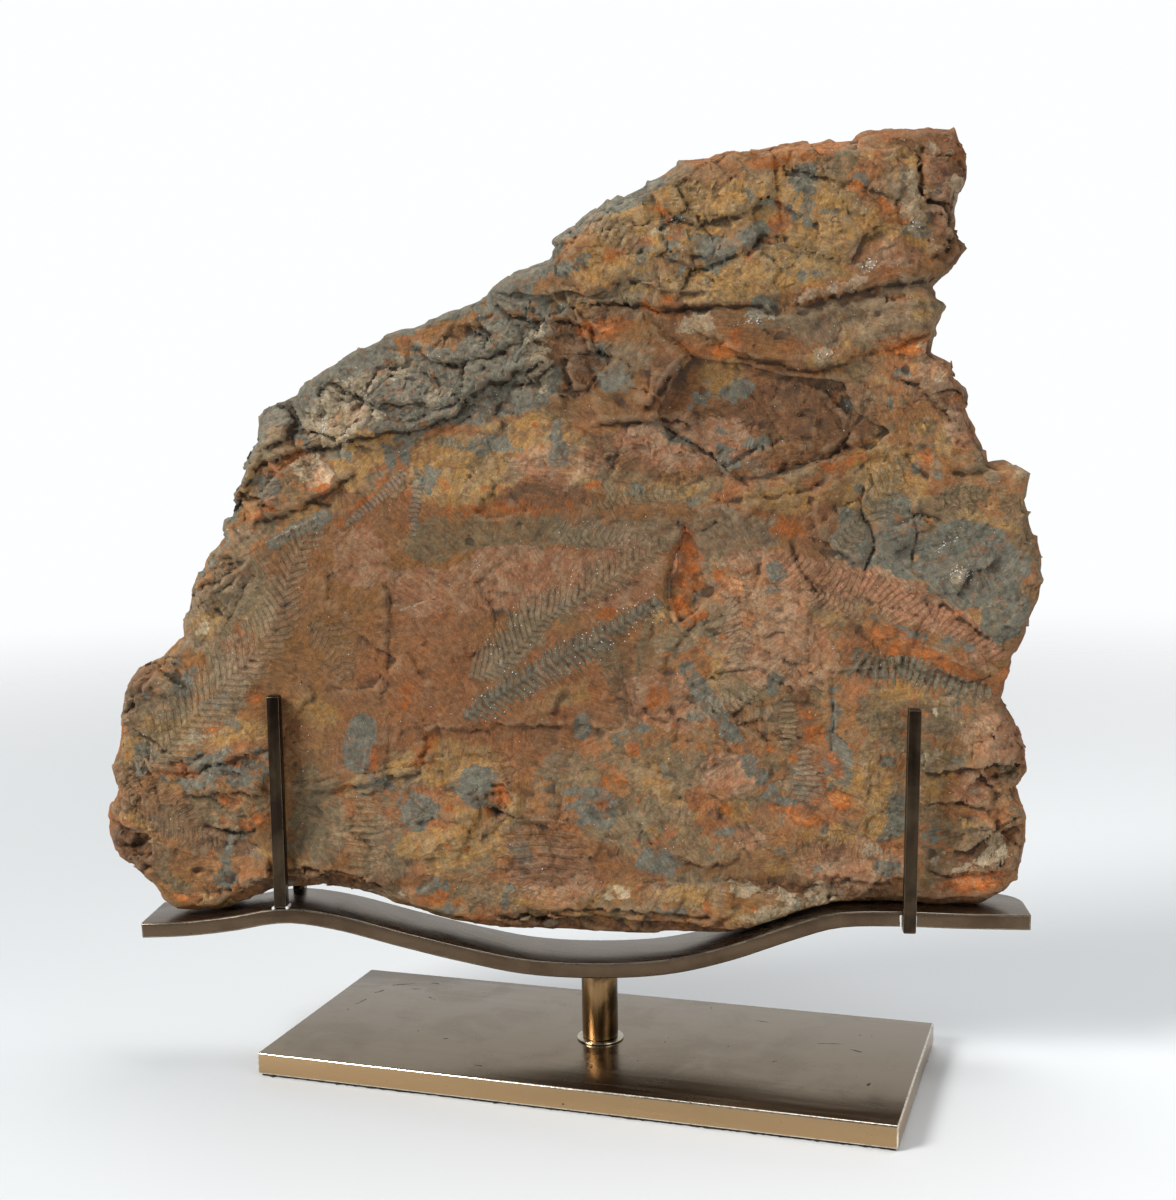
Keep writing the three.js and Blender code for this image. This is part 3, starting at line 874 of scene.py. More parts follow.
# %% Fronds and stalks
# Each frond: stalk, leaflet length to its left and right, leaflet pitch, slant, relief,
# pigment and its strength
FRONDS = [
    ([(-300, 203), (-270, 232), (-240, 262), (-218, 285), (-205, 302), (-198, 325), (-190, 345),
      (-178, 362)], 21, 19, 5.6, 0.9, 0.45, "taupe", 0.55),
    ([(-304, 196), (-282, 218), (-262, 240)], 14, 3, 4.4, 0.5, 0.6, "slate", 0.8),
    ([(-328, 196), (-300, 184), (-272, 168), (-248, 154)], 16, 18, 3.6, 0.7, 0.45, "umber", 0.62),
    ([(-84, 237), (-54, 256), (-28, 272), (0, 285), (5, 289), (42, 311)], 9, 14, 4.9, 0.5, 0.6,
     "moss", 0.9),
    ([(-78, 262), (-56, 273), (-38, 293), (-28, 303), (0, 318)], 22, 8, 4.6, 0.8, 0.55,
     "taupe", 0.7),
    ([(-8, 314), (12, 326), (32, 339), (48, 347)], 16, 11, 4.6, 0.7, 0.5, "olive", 0.66),
    ([(120, 344), (155, 330), (177, 327), (195, 319), (212, 307), (225, 304), (241, 294),
      (262, 276)], 3, 22, 4.4, -0.35, 0.6, "rose", 0.9),
    ([(134, 322), (152, 311), (172, 300)], 8, 9, 3.4, -0.3, 0.6, "rose", 0.62),
    ([(168, 280), (180, 271), (200, 271), (219, 264), (237, 257), (252, 253)], 5, 15, 4.6, 0.1,
     0.9, "moss", 0.95),
    ([(124, 214), (125, 232), (124, 252)], 7, 7, 3.5, 0.0, 0.6, "olive", 0.75),
    ([(136, 181), (137, 196), (136, 214)], 11, 11, 3.4, 0.0, 0.6, "slate", 0.62),
    ([(-110, 398), (-112, 378), (-114, 356)], 4.6, 4.6, 3.1, 0.3, 0.5, "slate", 0.66),
    ([(-117, 396), (-136, 380), (-158, 362)], 4.4, 4.4, 3.1, 0.3, 0.5, "slate", 0.72),
    ([(-97, 415), (-88, 414), (-80, 412)], 4.5, 4, 3.0, 0.0, 0.5, "slate", 0.8),
    ([(0, 373), (30, 378), (64, 384)], 6, 6, 4.0, 0.6, 0.4, "olive", 0.72),
    ([(174, 360), (183, 379), (197, 399)], 13, 13, 6.2, 0.7, 0.8, "olive", 0.78),
    ([(157, 341), (165, 353), (175, 367)], 8, 8, 4.2, 0.5, 0.6, "olive", 0.7),
    ([(218, 374), (234, 376), (252, 378)], 7, 7, 4.0, 0.6, 0.5, "olive", 0.72),
    ([(-153, 132), (-152, 160), (-152, 189)], 14, 12, 4.4, 0.0, 0.6, "olive", 0.75),
    ([(-36, 128), (-36, 150), (-35, 172)], 32, 34, 7.4, -0.1, 0.6, "umber", 0.7),
    ([(-24, 356), (4, 354), (34, 350)], 9, 9, 4.4, 0.7, 0.12, "taupe", 0.3),
    ([(0, 554), (18, 544), (36, 530)], 10, 11, 4.6, 0.2, 0.7, "taupe", 0.62),
    ([(88, 330), (96, 300), (92, 270)], 12, 12, 4.2, 0.6, 0.3, "taupe", 0.4),
    ([(126, 146), (150, 150), (176, 146)], 9, 9, 4.0, 0.4, 0.35, "umber", 0.45),
    ([(-180, 300), (-168, 284), (-160, 262)], 12, 12, 4.6, 0.6, 0.25, "olive", 0.36),
    ([(62, 238), (86, 244), (104, 252)], 8, 8, 3.8, 0.5, 0.35, "taupe", 0.5),
]
# Each bare stalk: line, width, relief, pigment and its strength. Two follow a frond.
STALKS = [
    ([(5, 288), (12, 268), (25, 232), (26, 190)], 12, 0.5, "olive", 0.8),
    ([(60, 268), (84, 232), (112, 188)], 13, 0.7, "slate", 0.68),
    ([(36, 300), (31, 278), (28, 256)], 4, 0.5, "olive", 0.8),
    ([(-151, 229), (-154, 212)], 19, 0.3, "slate", 1.0),
    ([(-217, 346), (-196, 357), (-172, 368)], 10, 0.6, "slate", 0.62),
    ([(153, 256), (154, 236), (153, 214)], 2.6, -0.3, "slate", 0.9),
    (FRONDS[0][0], 2.2, 0.7, "umber", 0.7),
    ([(-84, 237), (-54, 256), (-28, 272), (0, 285), (42, 311)], 2.0, 0.7, "slate", 0.95),
    (FRONDS[4][0], 1.8, 0.6, "slate", 0.8),
    ([(-5, 315), (12, 326), (32, 339), (45, 345)], 1.6, 0.6, "cream", 0.62),
    ([(-133, 303), (-118, 309), (-100, 316)], 1.4, 0.4, "cream", 0.6),
    ([(-214, 350), (-196, 359), (-174, 369)], 1.4, 0.5, "cream", 0.6),
    ([(50, 545), (57, 549), (64, 554)], 1.6, 0.3, "cream", 0.8),
]
print(f"{len(FRONDS)} fronds and {len(STALKS)} stalks")

# %% The height of the face


def on_face(x, z):
    return np.stack([x, np.zeros_like(x), z], 1)


def roughness_of(x, z):
    torn = np.full(x.shape, 0.12)
    for *oval, weight in ROUGH_ZONES:
        reach = patch_distance(x, z, *oval)
        torn = np.maximum(torn, weight * (1.0 - soft_step(reach, 0.65, 1.25)))
    return torn


def frond_comb(frond, x, z):
    """Points near a frond, their phase, and their rise: 1 at the stalk, 0 at the tips."""
    line, left, right, pitch, slant, *_ = frond
    at, away, side, run, length = near_line(drawn(line), x, z, max(left, right) + 6)
    share = run / length
    taper = soft_step(share, -0.02, 0.12) * (1.0 - 0.75 * soft_step(share, 0.5, 1.02))
    reach = np.where(side > 0, left, right) * (0.3 + 0.7 * taper)
    reach = reach * (1 + 0.22 * cloud(on_face(run, 40.0 * side), 9, 61, 2))
    past = np.abs(away - np.abs(side))
    phase = (run - slant * away) / pitch
    return at, phase, 1.0 - away / reach - 0.4 * past


# Size of the shards, their seed, and their relief on the calm and on the torn stone
SHARD_SIZES = [(42, 71, 0.6, 5.4), (19, 72, 0.42, 3.4), (8.5, 73, 0.2, 0.9)]


def face_height(x, z):
    """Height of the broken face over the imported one, in millimetres."""
    spot = on_face(x, z)
    torn = roughness_of(x, z)
    height = 1.3 * cloud(spot, 95, 11) + (0.35 + 1.6 * torn) * cloud(spot, 34, 12, 2)
    slope = np.stack([0.94 * x + 0.34 * z, np.zeros_like(x), 1.7 * (0.94 * z - 0.34 * x)], 1)
    levels = cloud(slope, 46, 13, 4, 0.55) * 5.0
    flake = np.floor(levels) + soft_step(levels - np.floor(levels), 0.4, 0.6)
    height += (0.42 + 1.0 * torn) * (flake - levels * 0.55)
    wx, wz = x + 2.2 * cloud(spot, 9, 15), z + 2.2 * cloud(spot, 9, 16)
    for size, seed, calm, deep in SHARD_SIZES:
        height += (calm + deep * torn) * facets(wx, wz, size, seed)
    cx, cz, _, _ = shards(wx, wz, 5.5, 74)
    jx, jz = 0.62 * wx + 0.38 * cx, 0.62 * wz + 0.38 * cz
    for line, toward, step, fall in LEDGES:
        path = drawn(line)
        at, away, side, run, length = near_line(path, x, z, 2.4 * fall, jx, jz)
        heading = path[-1] - path[0]
        side = side * math.copysign(1.0, heading[0] * toward[1] - heading[1] * toward[0])
        ends = soft_step(run / length, 0.0, 0.14) * (1 - soft_step(run / length, 0.86, 1.0))
        behind = np.clip(1.0 - away / (2.2 * fall), 0, 1) * soft_step(side, -0.4, 0.8)
        groove = np.exp(-((side + 1.0) / 1.0) ** 2) * (away < 4)
        height[at] += ends * (2.6 * step * behind - 0.9 * min(step, 2.0) * groove)
    for line, depth, width in CRACKS:
        at, away, *_ = near_line(drawn(line), x, z, 8 * width, wx, wz)
        height[at] -= depth * np.exp(-(away / width) ** 2)
    for frond in FRONDS:
        at, phase, rise = frond_comb(frond, x, z)
        cover = soft_step(rise, -0.05, 0.3)
        height[at] += frond[5] * cover * (0.15 - 0.6 * np.cos(2 * math.pi * phase))
    for line, width, relief, _, _ in STALKS:
        at, away, *_ = near_line(drawn(line), x, z, 2 * width)
        height[at] += relief * (1 - soft_step(away / width, 0.38, 0.6))
    return height


# %% [markdown]
# ### Growing and breaking the skin
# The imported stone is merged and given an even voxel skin. Points move along the face first,
# so that straight edges of beds turn ragged. The face then takes its height, the rim gets
# the fine layering of beds seen edge-on, and the back is left as one coarse split surface.
# Where the prongs stand the face stays low, so nothing touches them. The dense skin is then
# thinned, which keeps small triangles only where the relief is fine.

# %% Stone mesh
VOXEL = 1.35 * MM
STONE_TRIANGLES = 192000
WALL_ROUNDS = 14
PRONG_CLEARANCE = 0.6


def voxel_skin(node):
    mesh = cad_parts[node].data.copy()
    form = bmesh.new()
    form.from_mesh(mesh)
    bmesh.ops.remove_doubles(form, verts=form.verts, dist=1e-6)
    form.to_mesh(mesh)
    form.free()
    block = bpy.data.objects.new("block", mesh)
    scene.collection.objects.link(block)
    remesh = block.modifiers.new("skin", "REMESH")
    remesh.mode = "VOXEL"
    remesh.voxel_size = VOXEL
    skin = evaluated_mesh(block)
    bpy.data.objects.remove(block)
    return skin


def evaluated_mesh(piece):
    bpy.context.view_layer.update()
    graph = bpy.context.evaluated_depsgraph_get()
    return bpy.data.meshes.new_from_object(piece.evaluated_get(graph))


def normals_of(mesh):
    normals = np.empty(len(mesh.vertices) * 3, np.float32)
    mesh.vertex_normals.foreach_get("vector", normals)
    return normals.reshape(-1, 3).astype(float)


def soften_walls(mesh, at, rounds):
    """Turns the steep walls of packed beds and hollows on the face into slopes."""
    a, b, linked = neighbours(mesh)
    front = soft_step(-at[:, 1], 3.0, 8.0)
    depth = at[:, 1].copy()
    for _ in range(rounds):
        around = (np.bincount(a, depth[b], len(depth)) + np.bincount(b, depth[a], len(depth)))
        depth += front * 0.6 * (around / linked - depth)
    at[:, 1] = depth


def neighbours(mesh):
    """The two ends of every edge, and how many edges meet at each vertex."""
    count = len(mesh.vertices)
    ends = np.empty(len(mesh.edges) * 2, np.int32)
    mesh.edges.foreach_get("vertices", ends)
    a, b = ends.reshape(-1, 2).T
    return a, b, np.bincount(a, minlength=count) + np.bincount(b, minlength=count)


def break_skin(mesh):
    """Moves the points of the skin: along the face first, then in or out of it."""
    at = to_cradle(vertices_of(mesh))
    soften_walls(mesh, at, WALL_ROUNDS)
    facing = to_cradle(normals_of(mesh)) * MM
    x, y, z = at.T
    spot = on_face(x, z)
    calm = 0.3 + 0.7 * soft_step(z, 104, 140)
    _, _, draw, border = shards(x + 2 * cloud(spot, 9, 25), z + 2 * cloud(spot, 9, 26), 15, 27)
    fray = soft_step(border, 0.0, 3.5)[:, None] * draw
    x = x + calm * (2.2 * cloud(spot, 24, 21) + 2.4 * fray[:, 0])
    z = z + calm * (2.2 * cloud(spot, 24, 23) + 2.4 * fray[:, 1])
    front = soft_step(-y, 2.0, 9.0)
    back = soft_step(y, 12.0, 20.0)
    lift = front * face_height(x, z)
    for prong in PRONGS[:2]:
        low, high = cradle_box(prong)
        near = (np.abs(x - (low[0] + high[0]) / 2) < 9) & (z < high[2] + 4)
        room = -high[1] - PRONG_CLEARANCE + y
        lift = np.where(near & (front > 0), np.minimum(lift, np.maximum(room, -6)), lift)
    far = np.stack([x, np.zeros_like(x) + 400, z], 1)
    hollow = 3.0 * np.abs(cloud(far, 80, 31, 2)) + 1.2
    hollow += 1.3 * cloud(far, 17, 37) + 0.7 * cloud(far, 6, 38)
    bx, bz = x + 9 * cloud(far, 30, 36), z + 9 * cloud(far, 30, 39)
    for size, seed, depth in ((78, 34, 1.9), (27, 35, 0.45)):
        hollow += depth * facets(bx, bz, size, seed)
    rim = 1.0 - soft_step(np.abs(facing[:, 1]), 0.45, 0.85)
    beds = lattice(np.stack([x / 3.0, y * 5.2 + 0.5 * z, z / 3.0], 1), 17, 41)
    beds = beds + 0.6 * lattice(np.stack([x / 2.0, y * 12.0, z / 2.0], 1), 17, 42)
    outward = rim * (calm * 1.5 * beds + calm * 1.6 * cloud(at, 16, 43) - 0.5)
    x = x + facing[:, 0] * outward
    z = z + facing[:, 2] * outward
    y = y - lift - back * np.maximum(hollow - 0.6, 0)
    mesh.vertices.foreach_set("co", to_world(np.stack([x, y, z], 1)).ravel())
    mesh.update()


def thinned(mesh):
    """Thins a dense mesh, which keeps small triangles only where the relief is fine."""
    block = bpy.data.objects.new("block", mesh)
    scene.collection.objects.link(block)
    triangles = sum(len(p.vertices) - 2 for p in mesh.polygons)
    thin = block.modifiers.new("thin", "DECIMATE")
    thin.ratio = STONE_TRIANGLES / triangles
    thin.use_collapse_triangulate = True
    result = evaluated_mesh(block)
    bpy.data.objects.remove(block)
    print(f"thinned from {triangles} to {len(result.polygons)} triangles")
    return result


skin = voxel_skin("fossil_slab")
break_skin(skin)
stone_mesh = thinned(skin)
stone_mesh.name = "fossil_slab_stone"

# %% [markdown]
# ### Pigments
# Iron has stained the stone in patches: blue-grey slate where the fern film is left, bright
# rust, ochre, cream crust, dark umber, rose, green-grey olive and a pale taupe. Each vertex
# carries the share of each pigment as soft values that fall off over some millimetres. The
# finish later cuts them with a fine noise into crisp ragged patches, so the patches don't
# depend on the size of the triangles.

# %% Where the pigments lie
PIGMENTS = ("slate", "rust", "ochre", "cream", "umber", "rose", "olive", "taupe", "mottle")
# Pigment: centre, half width, half height and, where it leans, tilt of each patch
PATCHES = {
    "slate": [
        (-98, 452, 66, 24, 20), (-165, 444, 30, 14, 35), (-261, 197, 13, 10),
        (-231, 198, 14, 9, 5), (-118, 174, 14, 13, 20), (-80, 192, 15, 12, 35),
        (-110, 122, 10, 4, 5), (-4, 186, 14, 4), (-14, 178, 4, 7, -40), (8, 179, 4, 6, 40),
        (62, 313, 8, 4.5, 10), (85, 160, 7, 5), (159, 205, 8, 20), (124, 179, 22, 4, -14),
        (145, 165, 6, 5, 20), (193, 205, 6, 5), (188, 137, 5, 4, 20), (216, 160, 6, 5),
        (57, 267, 5, 6), (185, 345, 28, 14), (165, 352, 12, 16), (240, 332, 36, 26, -8),
        (232, 322, 20, 12, -15), (262, 300, 13, 18, -20), (205, 330, 18, 8, -10),
        (-68, 470, 50, 13, 22), (-105, 448, 36, 16, 18), (-70, 436, 46, 9, 12),
        (-30, 452, 13, 13), (-150, 466, 30, 10, 25), (-192, 440, 22, 10, 30),
        (-209, 385, 9, 11, 10), (17, 452, 13, 9, 10), (95, 446, 9, 8, 20), (196, 455, 7, 5),
        (171, 571, 7, 4), (80, 531, 11, 12, 30), (-10, 524, 15, 7, 30), (100, 540, 9, 7),
        (-215, 424, 12, 7, 40), (150, 196, 4, 14), (-237, 158, 6, 4), (186, 366, 6, 10),
        (136, 572, 10, 9, 40), (-128, 408, 5, 9, -40), (206, 395, 5, 7), (240, 186, 8, 4, 20),
        (40, 142, 10, 8), (-6, 225, 6, 12), (-46, 506, 26, 7, 25), (176, 300, 4, 3),
        (206, 540, 5, 4), (112, 494, 12, 6, 15), (-268, 262, 7, 12, -30), (118, 330, 6, 9),
        (-62, 412, 16, 6), (196, 375, 5, 9, 20), (70, 438, 9, 4, 30), (155, 234, 4, 18),
    ],
    "rust": [
        (60, 334, 9, 22, -4), (56, 308, 6, 12), (66, 300, 8, 5, 20), (-275, 115, 11, 6),
        (-143, 210, 4, 6), (-111, 215, 3.5, 11, -20), (-135, 383, 27, 3, 38),
        (-284, 203, 14, 3, -10), (-108, 114, 10, 4), (-75, 102, 11, 4), (41, 248, 7, 5, 40),
        (159, 181, 11, 8), (133, 170, 12, 7), (155, 205, 4, 10), (125, 357, 10, 5),
        (244, 128, 19, 8, 5), (110, 584, 16, 5, 5), (168, 566, 10, 4, -35),
        (187, 553, 9, 4, -25), (194, 468, 21, 7, 8), (-32, 300, 4, 4), (9, 303, 3.5, 3.5),
        (-173, 393, 8, 12, 10), (-3, 179, 7, 4), (12, 197, 6, 9), (-55, 372, 30, 3.5, 2),
        (201, 281, 26, 5, -16), (182, 288, 14, 5, -10), (226, 266, 14, 4, -25), (60, 322, 9, 8),
        (-148, 432, 6, 4, 30), (-196, 402, 11, 3.5, 30), (-214, 370, 16, 4, 25),
        (-238, 182, 10, 4, 10), (-60, 184, 5, 8), (84, 176, 4, 5), (160, 398, 12, 3.5, 10),
        (24, 532, 14, 5, 30), (48, 500, 10, 4), (150, 504, 20, 3, 12), (212, 400, 5, 5),
        (92, 322, 8, 12, 20), (100, 300, 5, 5), (140, 226, 4, 12), (262, 262, 6, 10),
        (198, 430, 5, 3), (-222, 168, 8, 4), (-122, 250, 4, 9), (-322, 240, 3, 10),
        (66, 470, 12, 4, -30), (10, 486, 12, 5), (232, 398, 7, 4), (190, 148, 5, 4),
        (-252, 232, 8, 4), (-224, 246, 5, 9), (85, 470, 14, 8, 20), (232, 300, 4, 4),
    ],
    "ochre": [
        (-100, 150, 29, 15, 5), (-96, 208, 35, 15, 8), (180, 189, 16, 9), (85, 455, 16, 14),
        (211, 541, 12, 11), (92, 175, 11, 7), (66, 174, 7, 6), (-222, 390, 6, 11),
        (-253, 300, 10, 9), (-85, 398, 34, 24), (-150, 408, 40, 13, 35), (60, 552, 60, 17, 15),
        (120, 560, 50, 17), (160, 540, 46, 17), (100, 512, 60, 12, 5), (20, 530, 34, 14, 20),
        (186, 388, 26, 22), (120, 376, 30, 9, 5), (60, 390, 20, 9), (170, 190, 24, 14),
        (217, 190, 6, 11), (-40, 118, 20, 8), (60, 118, 20, 8), (-232, 228, 18, 8, 10),
        (150, 160, 22, 8), (230, 480, 6, 8), (-20, 250, 22, 8, 20), (76, 260, 6, 10),
        (258, 268, 8, 12), (200, 252, 18, 8, -15), (-268, 232, 13, 9, 30), (250, 300, 6, 10),
        (200, 582, 12, 8), (-256, 345, 12, 6, 30), (-180, 372, 16, 6, 30), (148, 462, 16, 4),
        (-300, 120, 10, 8), (-184, 240, 13, 10), (128, 134, 16, 7), (46, 186, 8, 8),
        (176, 396, 14, 8), (-30, 412, 30, 8), (-290, 225, 10, 14),
    ],
    "cream": [
        (-164, 430, 17, 20, -20), (-148, 429, 22, 7, 15), (-150, 450, 15, 8, 20),
        (-178, 398, 9, 9), (-138, 117, 10, 3, 10), (146, 117, 7, 10), (120, 116, 10, 5),
        (212, 205, 2.5, 14, -12), (221, 145, 9, 2.5, 30), (175, 150, 3, 3), (226, 347, 6, 3, 30),
        (233, 327, 4, 6, 20), (175, 520, 4, 3), (187, 512, 4, 3), (205, 545, 3, 4),
        (57, 549, 8, 1.6, 28), (147, 464, 5, 6), (-262, 231, 8, 1.4, 60),
        (-258, 224, 9, 1.2, 20), (218, 452, 5, 3), (208, 470, 5, 3), (224, 588, 8, 6),
        (228, 560, 4, 14), (95, 118, 9, 5), (-122, 462, 9, 6, 30), (-104, 441, 12, 3, 10),
        (66, 487, 8, 5, 10), (-234, 214, 6, 1.5, 10), (256, 150, 5, 8), (18, 118, 8, 5),
        (-30, 470, 5, 18), (112, 104, 14, 3, 10), (-255, 300, 7, 6), (270, 390, 8, 4),
        (199, 563, 3, 12), (158, 506, 18, 1.8, 12), (110, 492, 9, 3, 10), (250, 142, 12, 2, 20),
        (218, 220, 1.4, 8),
    ],
    "umber": [
        (130, 424, 56, 27, 8), (62, 408, 60, 20), (-5, 470, 18, 28), (-40, 495, 20, 8, 10),
        (12, 492, 14, 8), (254, 143, 22, 13), (-308, 152, 16, 16), (0, 94, 120, 5),
        (-190, 124, 54, 6), (-173, 390, 12, 14), (230, 440, 16, 22), (62, 350, 4, 14),
        (-30, 380, 30, 9), (130, 236, 12, 26), (150, 124, 46, 10), (70, 495, 8, 4),
        (224, 558, 14, 34), (-64, 182, 8, 12), (-120, 490, 30, 6, 20), (232, 520, 6, 12),
        (-240, 150, 14, 6), (50, 452, 12, 18, 30), (-26, 385, 14, 10), (232, 292, 22, 4, -32),
        (-310, 130, 10, 8), (-296, 262, 10, 14), (88, 230, 10, 16, -30), (20, 245, 6, 20, 20),
    ],
    "rose": [
        (200, 312, 50, 12, -28), (248, 278, 15, 8, -35), (100, 157, 10, 8), (240, 190, 16, 13),
        (256, 222, 20, 17), (185, 525, 22, 10), (42, 250, 22, 18, 20), (110, 320, 30, 26, -20),
        (120, 280, 40, 26, -20), (-40, 325, 70, 22), (-110, 320, 24, 16), (-150, 340, 18, 22),
        (60, 240, 22, 16), (215, 448, 14, 12), (-30, 130, 30, 18), (165, 140, 36, 16),
        (20, 330, 26, 22), (218, 565, 10, 30), (90, 200, 22, 16), (240, 125, 24, 11, 5),
        (-20, 400, 30, 12), (60, 412, 44, 16), (-230, 280, 14, 12), (235, 420, 12, 14),
    ],
    "olive": [
        (-35, 300, 30, 12, 25), (50, 206, 18, 14), (225, 356, 26, 17), (238, 162, 17, 13),
        (-72, 405, 5.5, 9), (-58, 402, 11, 7), (-20, 403, 16, 5, 8), (-70, 385, 9, 7),
        (-48, 383, 3.6, 6), (-40, 381, 3.6, 6), (-30, 384, 3.6, 6), (-92, 392, 5, 3),
        (80, 531, 13, 13), (180, 380, 14, 20), (235, 375, 16, 7), (25, 170, 24, 15),
        (-100, 352, 24, 14), (-186, 180, 16, 24), (0, 500, 60, 8), (-88, 142, 22, 10),
        (140, 520, 30, 10, 10), (40, 566, 34, 10, 25), (-190, 160, 12, 20), (96, 552, 22, 12),
        (100, 186, 18, 10), (270, 350, 8, 26), (212, 172, 8, 10), (-300, 215, 14, 16),
        (-264, 170, 26, 14, 20), (-50, 355, 50, 11, 2), (130, 392, 20, 6, 8), (182, 240, 14, 18),
    ],
    "taupe": [
        (-290, 240, 22, 30, -30), (-250, 300, 20, 26, -30), (-230, 330, 18, 20, -30),
        (166, 486, 52, 14, 5), (24, 165, 20, 13), (150, 565, 14, 13), (-184, 162, 18, 24),
        (-240, 258, 14, 20), (24, 465, 20, 12), (50, 505, 50, 7), (-205, 412, 18, 14, 30),
        (90, 352, 30, 20), (196, 326, 26, 8, -20), (100, 520, 24, 7), (-50, 280, 30, 10, 30),
        (-140, 150, 14, 24), (20, 355, 60, 10), (130, 560, 18, 10), (200, 505, 30, 6, 10),
        (-20, 200, 20, 14), (60, 120, 26, 12),
    ],
    "mottle": [
        (-230, 395, 50, 60, -30), (-90, 410, 80, 30, 5), (-80, 460, 100, 34, 20),
        (90, 545, 130, 44, 12), (200, 450, 50, 50), (220, 340, 70, 70), (180, 200, 90, 70),
        (60, 190, 80, 50), (-90, 170, 90, 40), (-270, 200, 60, 50), (-260, 300, 50, 60, -30),
        (60, 400, 80, 26), (0, 110, 200, 16), (100, 290, 60, 50), (-240, 130, 60, 24, -10),
        (245, 150, 40, 40),
    ],
}
PATCH_EDGE = 0.085               # how fast a pigment's share falls, per millimetre


def pigment_shares(x, y, z, rim=0.0):
    """The share of each pigment at each point: 0.5 on the rim of a patch. Where `rim` is 1
    the broken edge of the plate shows, which has a grey weathered crust."""
    spot = on_face(x, z)
    wx = x + 3.0 * cloud(spot, 21, 51) + 1.6 * cloud(spot, 6, 52)
    wz = z + 3.0 * cloud(spot, 21, 53) + 1.6 * cloud(spot, 6, 54)
    cx, cz, _, _ = shards(wx, wz, 6.5, 55)
    shares = {name: np.zeros(x.shape) for name in PIGMENTS}
    for name, patches in PATCHES.items():
        for patch in patches:
            reach = 0.5 * (patch_distance(wx, wz, *patch) + patch_distance(cx, cz, *patch))
            share = 0.5 + (1.0 - reach) * min(patch[2:4]) * PATCH_EDGE
            shares[name] = np.maximum(shares[name], np.clip(share, 0, 1))
    for line, width, _, name, strength in STALKS:
        at, away, *_ = near_line(drawn(line), x, z, 2 * width)
        cover = strength * (1 - soft_step(away / width, 0.35, 0.7))
        shares[name][at] = np.maximum(shares[name][at], cover)
    crust = rim * (0.78 + 0.4 * cloud(spot, 30, 56))
    shares["taupe"] = np.maximum(shares["taupe"], 0.75 * rim)
    shares["slate"] = np.maximum(shares["slate"], crust)
    behind = soft_step(y, 16, 19)
    for name in PIGMENTS:
        shares[name] *= 1 - behind
    for name, share, seed in (("taupe", 0.46, 57), ("umber", 0.34, 58), ("olive", 0.36, 59),
                              ("slate", 0.10, 60)):
        drift = share + 1.1 * cloud(spot, 95, seed)
        shares[name] += behind * np.clip(drift, 0, 1)
    shares["mottle"] -= 0.5 * behind
    return shares


# %% [markdown]
# Two more numbers follow each vertex: the frond's phase and strength, and how hollow or how
# proud the surface is there, measured against its neighbours. The finish paints shade into
# the hollows and a paler highlight on the proud edges.

# %% Colours of the stone and its stains
TAN = (0.222, 0.099, 0.031)
PINK_TAN = (0.254, 0.099, 0.036)
# Each stain: its colour, a second colour it drifts to, and how much it hides the stone
STAINS = {
    "taupe": ((0.215, 0.160, 0.095), (0.165, 0.125, 0.078), 0.78),
    "olive": ((0.175, 0.126, 0.066), (0.135, 0.106, 0.060), 0.76),
    "ochre": ((0.325, 0.175, 0.050), (0.290, 0.186, 0.082), 0.78),
    "umber": ((0.150, 0.069, 0.032), (0.105, 0.054, 0.029), 0.80),
    "rose": ((0.300, 0.136, 0.070), (0.330, 0.200, 0.118), 0.72),
    "slate": ((0.158, 0.155, 0.118), (0.130, 0.127, 0.096), 0.93),
    "rust": ((0.340, 0.095, 0.018), (0.255, 0.084, 0.022), 0.85),
    "cream": ((0.330, 0.255, 0.155), (0.430, 0.350, 0.235), 0.68),
}
SOFT_STAINS = ("rust", "ochre", "umber", "taupe")           # these fade out at their rims
STAIN_LAYERS = ("stain_a", "stain_b", "stain_c")            # each carries three pigments
LEAF_TINTS = {name: stain[0] for name, stain in STAINS.items()}
LEAF_TINTS["moss"] = (0.132, 0.118, 0.080)


# %% Numbers carried by the stone's vertices


def hollowness(mesh, rounds=2):
    """Above 0 in hollows and below 0 on proud edges."""
    count = len(mesh.vertices)
    a, b, linked = neighbours(mesh)
    points, facing = vertices_of(mesh) / MM, normals_of(mesh)
    mean = np.empty_like(points)
    for axis in range(3):
        mean[:, axis] = (np.bincount(a, points[b, axis], count)
                         + np.bincount(b, points[a, axis], count)) / linked
    bend = ((mean - points) * facing).sum(1)
    for _ in range(rounds):
        around = (np.bincount(a, bend[b], count) + np.bincount(b, bend[a], count)) / linked
        bend = 0.5 * bend + 0.5 * around
    return bend


def store(mesh, name, *columns):
    layer = mesh.attributes.new(name, "FLOAT_VECTOR", "POINT")
    layer.data.foreach_set("vector", np.stack(columns, 1).astype(np.float32).ravel())


CRUST_WIDTH = 9.0                # how far the grey crust of the rim reaches over the face


def rim_distance(mesh, x, y, z):
    """How far each point lies from the broken rim, measured along the face."""
    facing = to_cradle(normals_of(mesh)) * MM
    on_rim = np.flatnonzero((np.abs(facing[:, 1]) < 0.35) & (np.abs(y) < 12))
    tree = KDTree(len(on_rim))
    for number, vertex in enumerate(on_rim):
        tree.insert((x[vertex], 0.0, z[vertex]), number)
    tree.balance()
    return np.array([tree.find((px, 0.0, pz))[2] for px, pz in zip(x, z)])


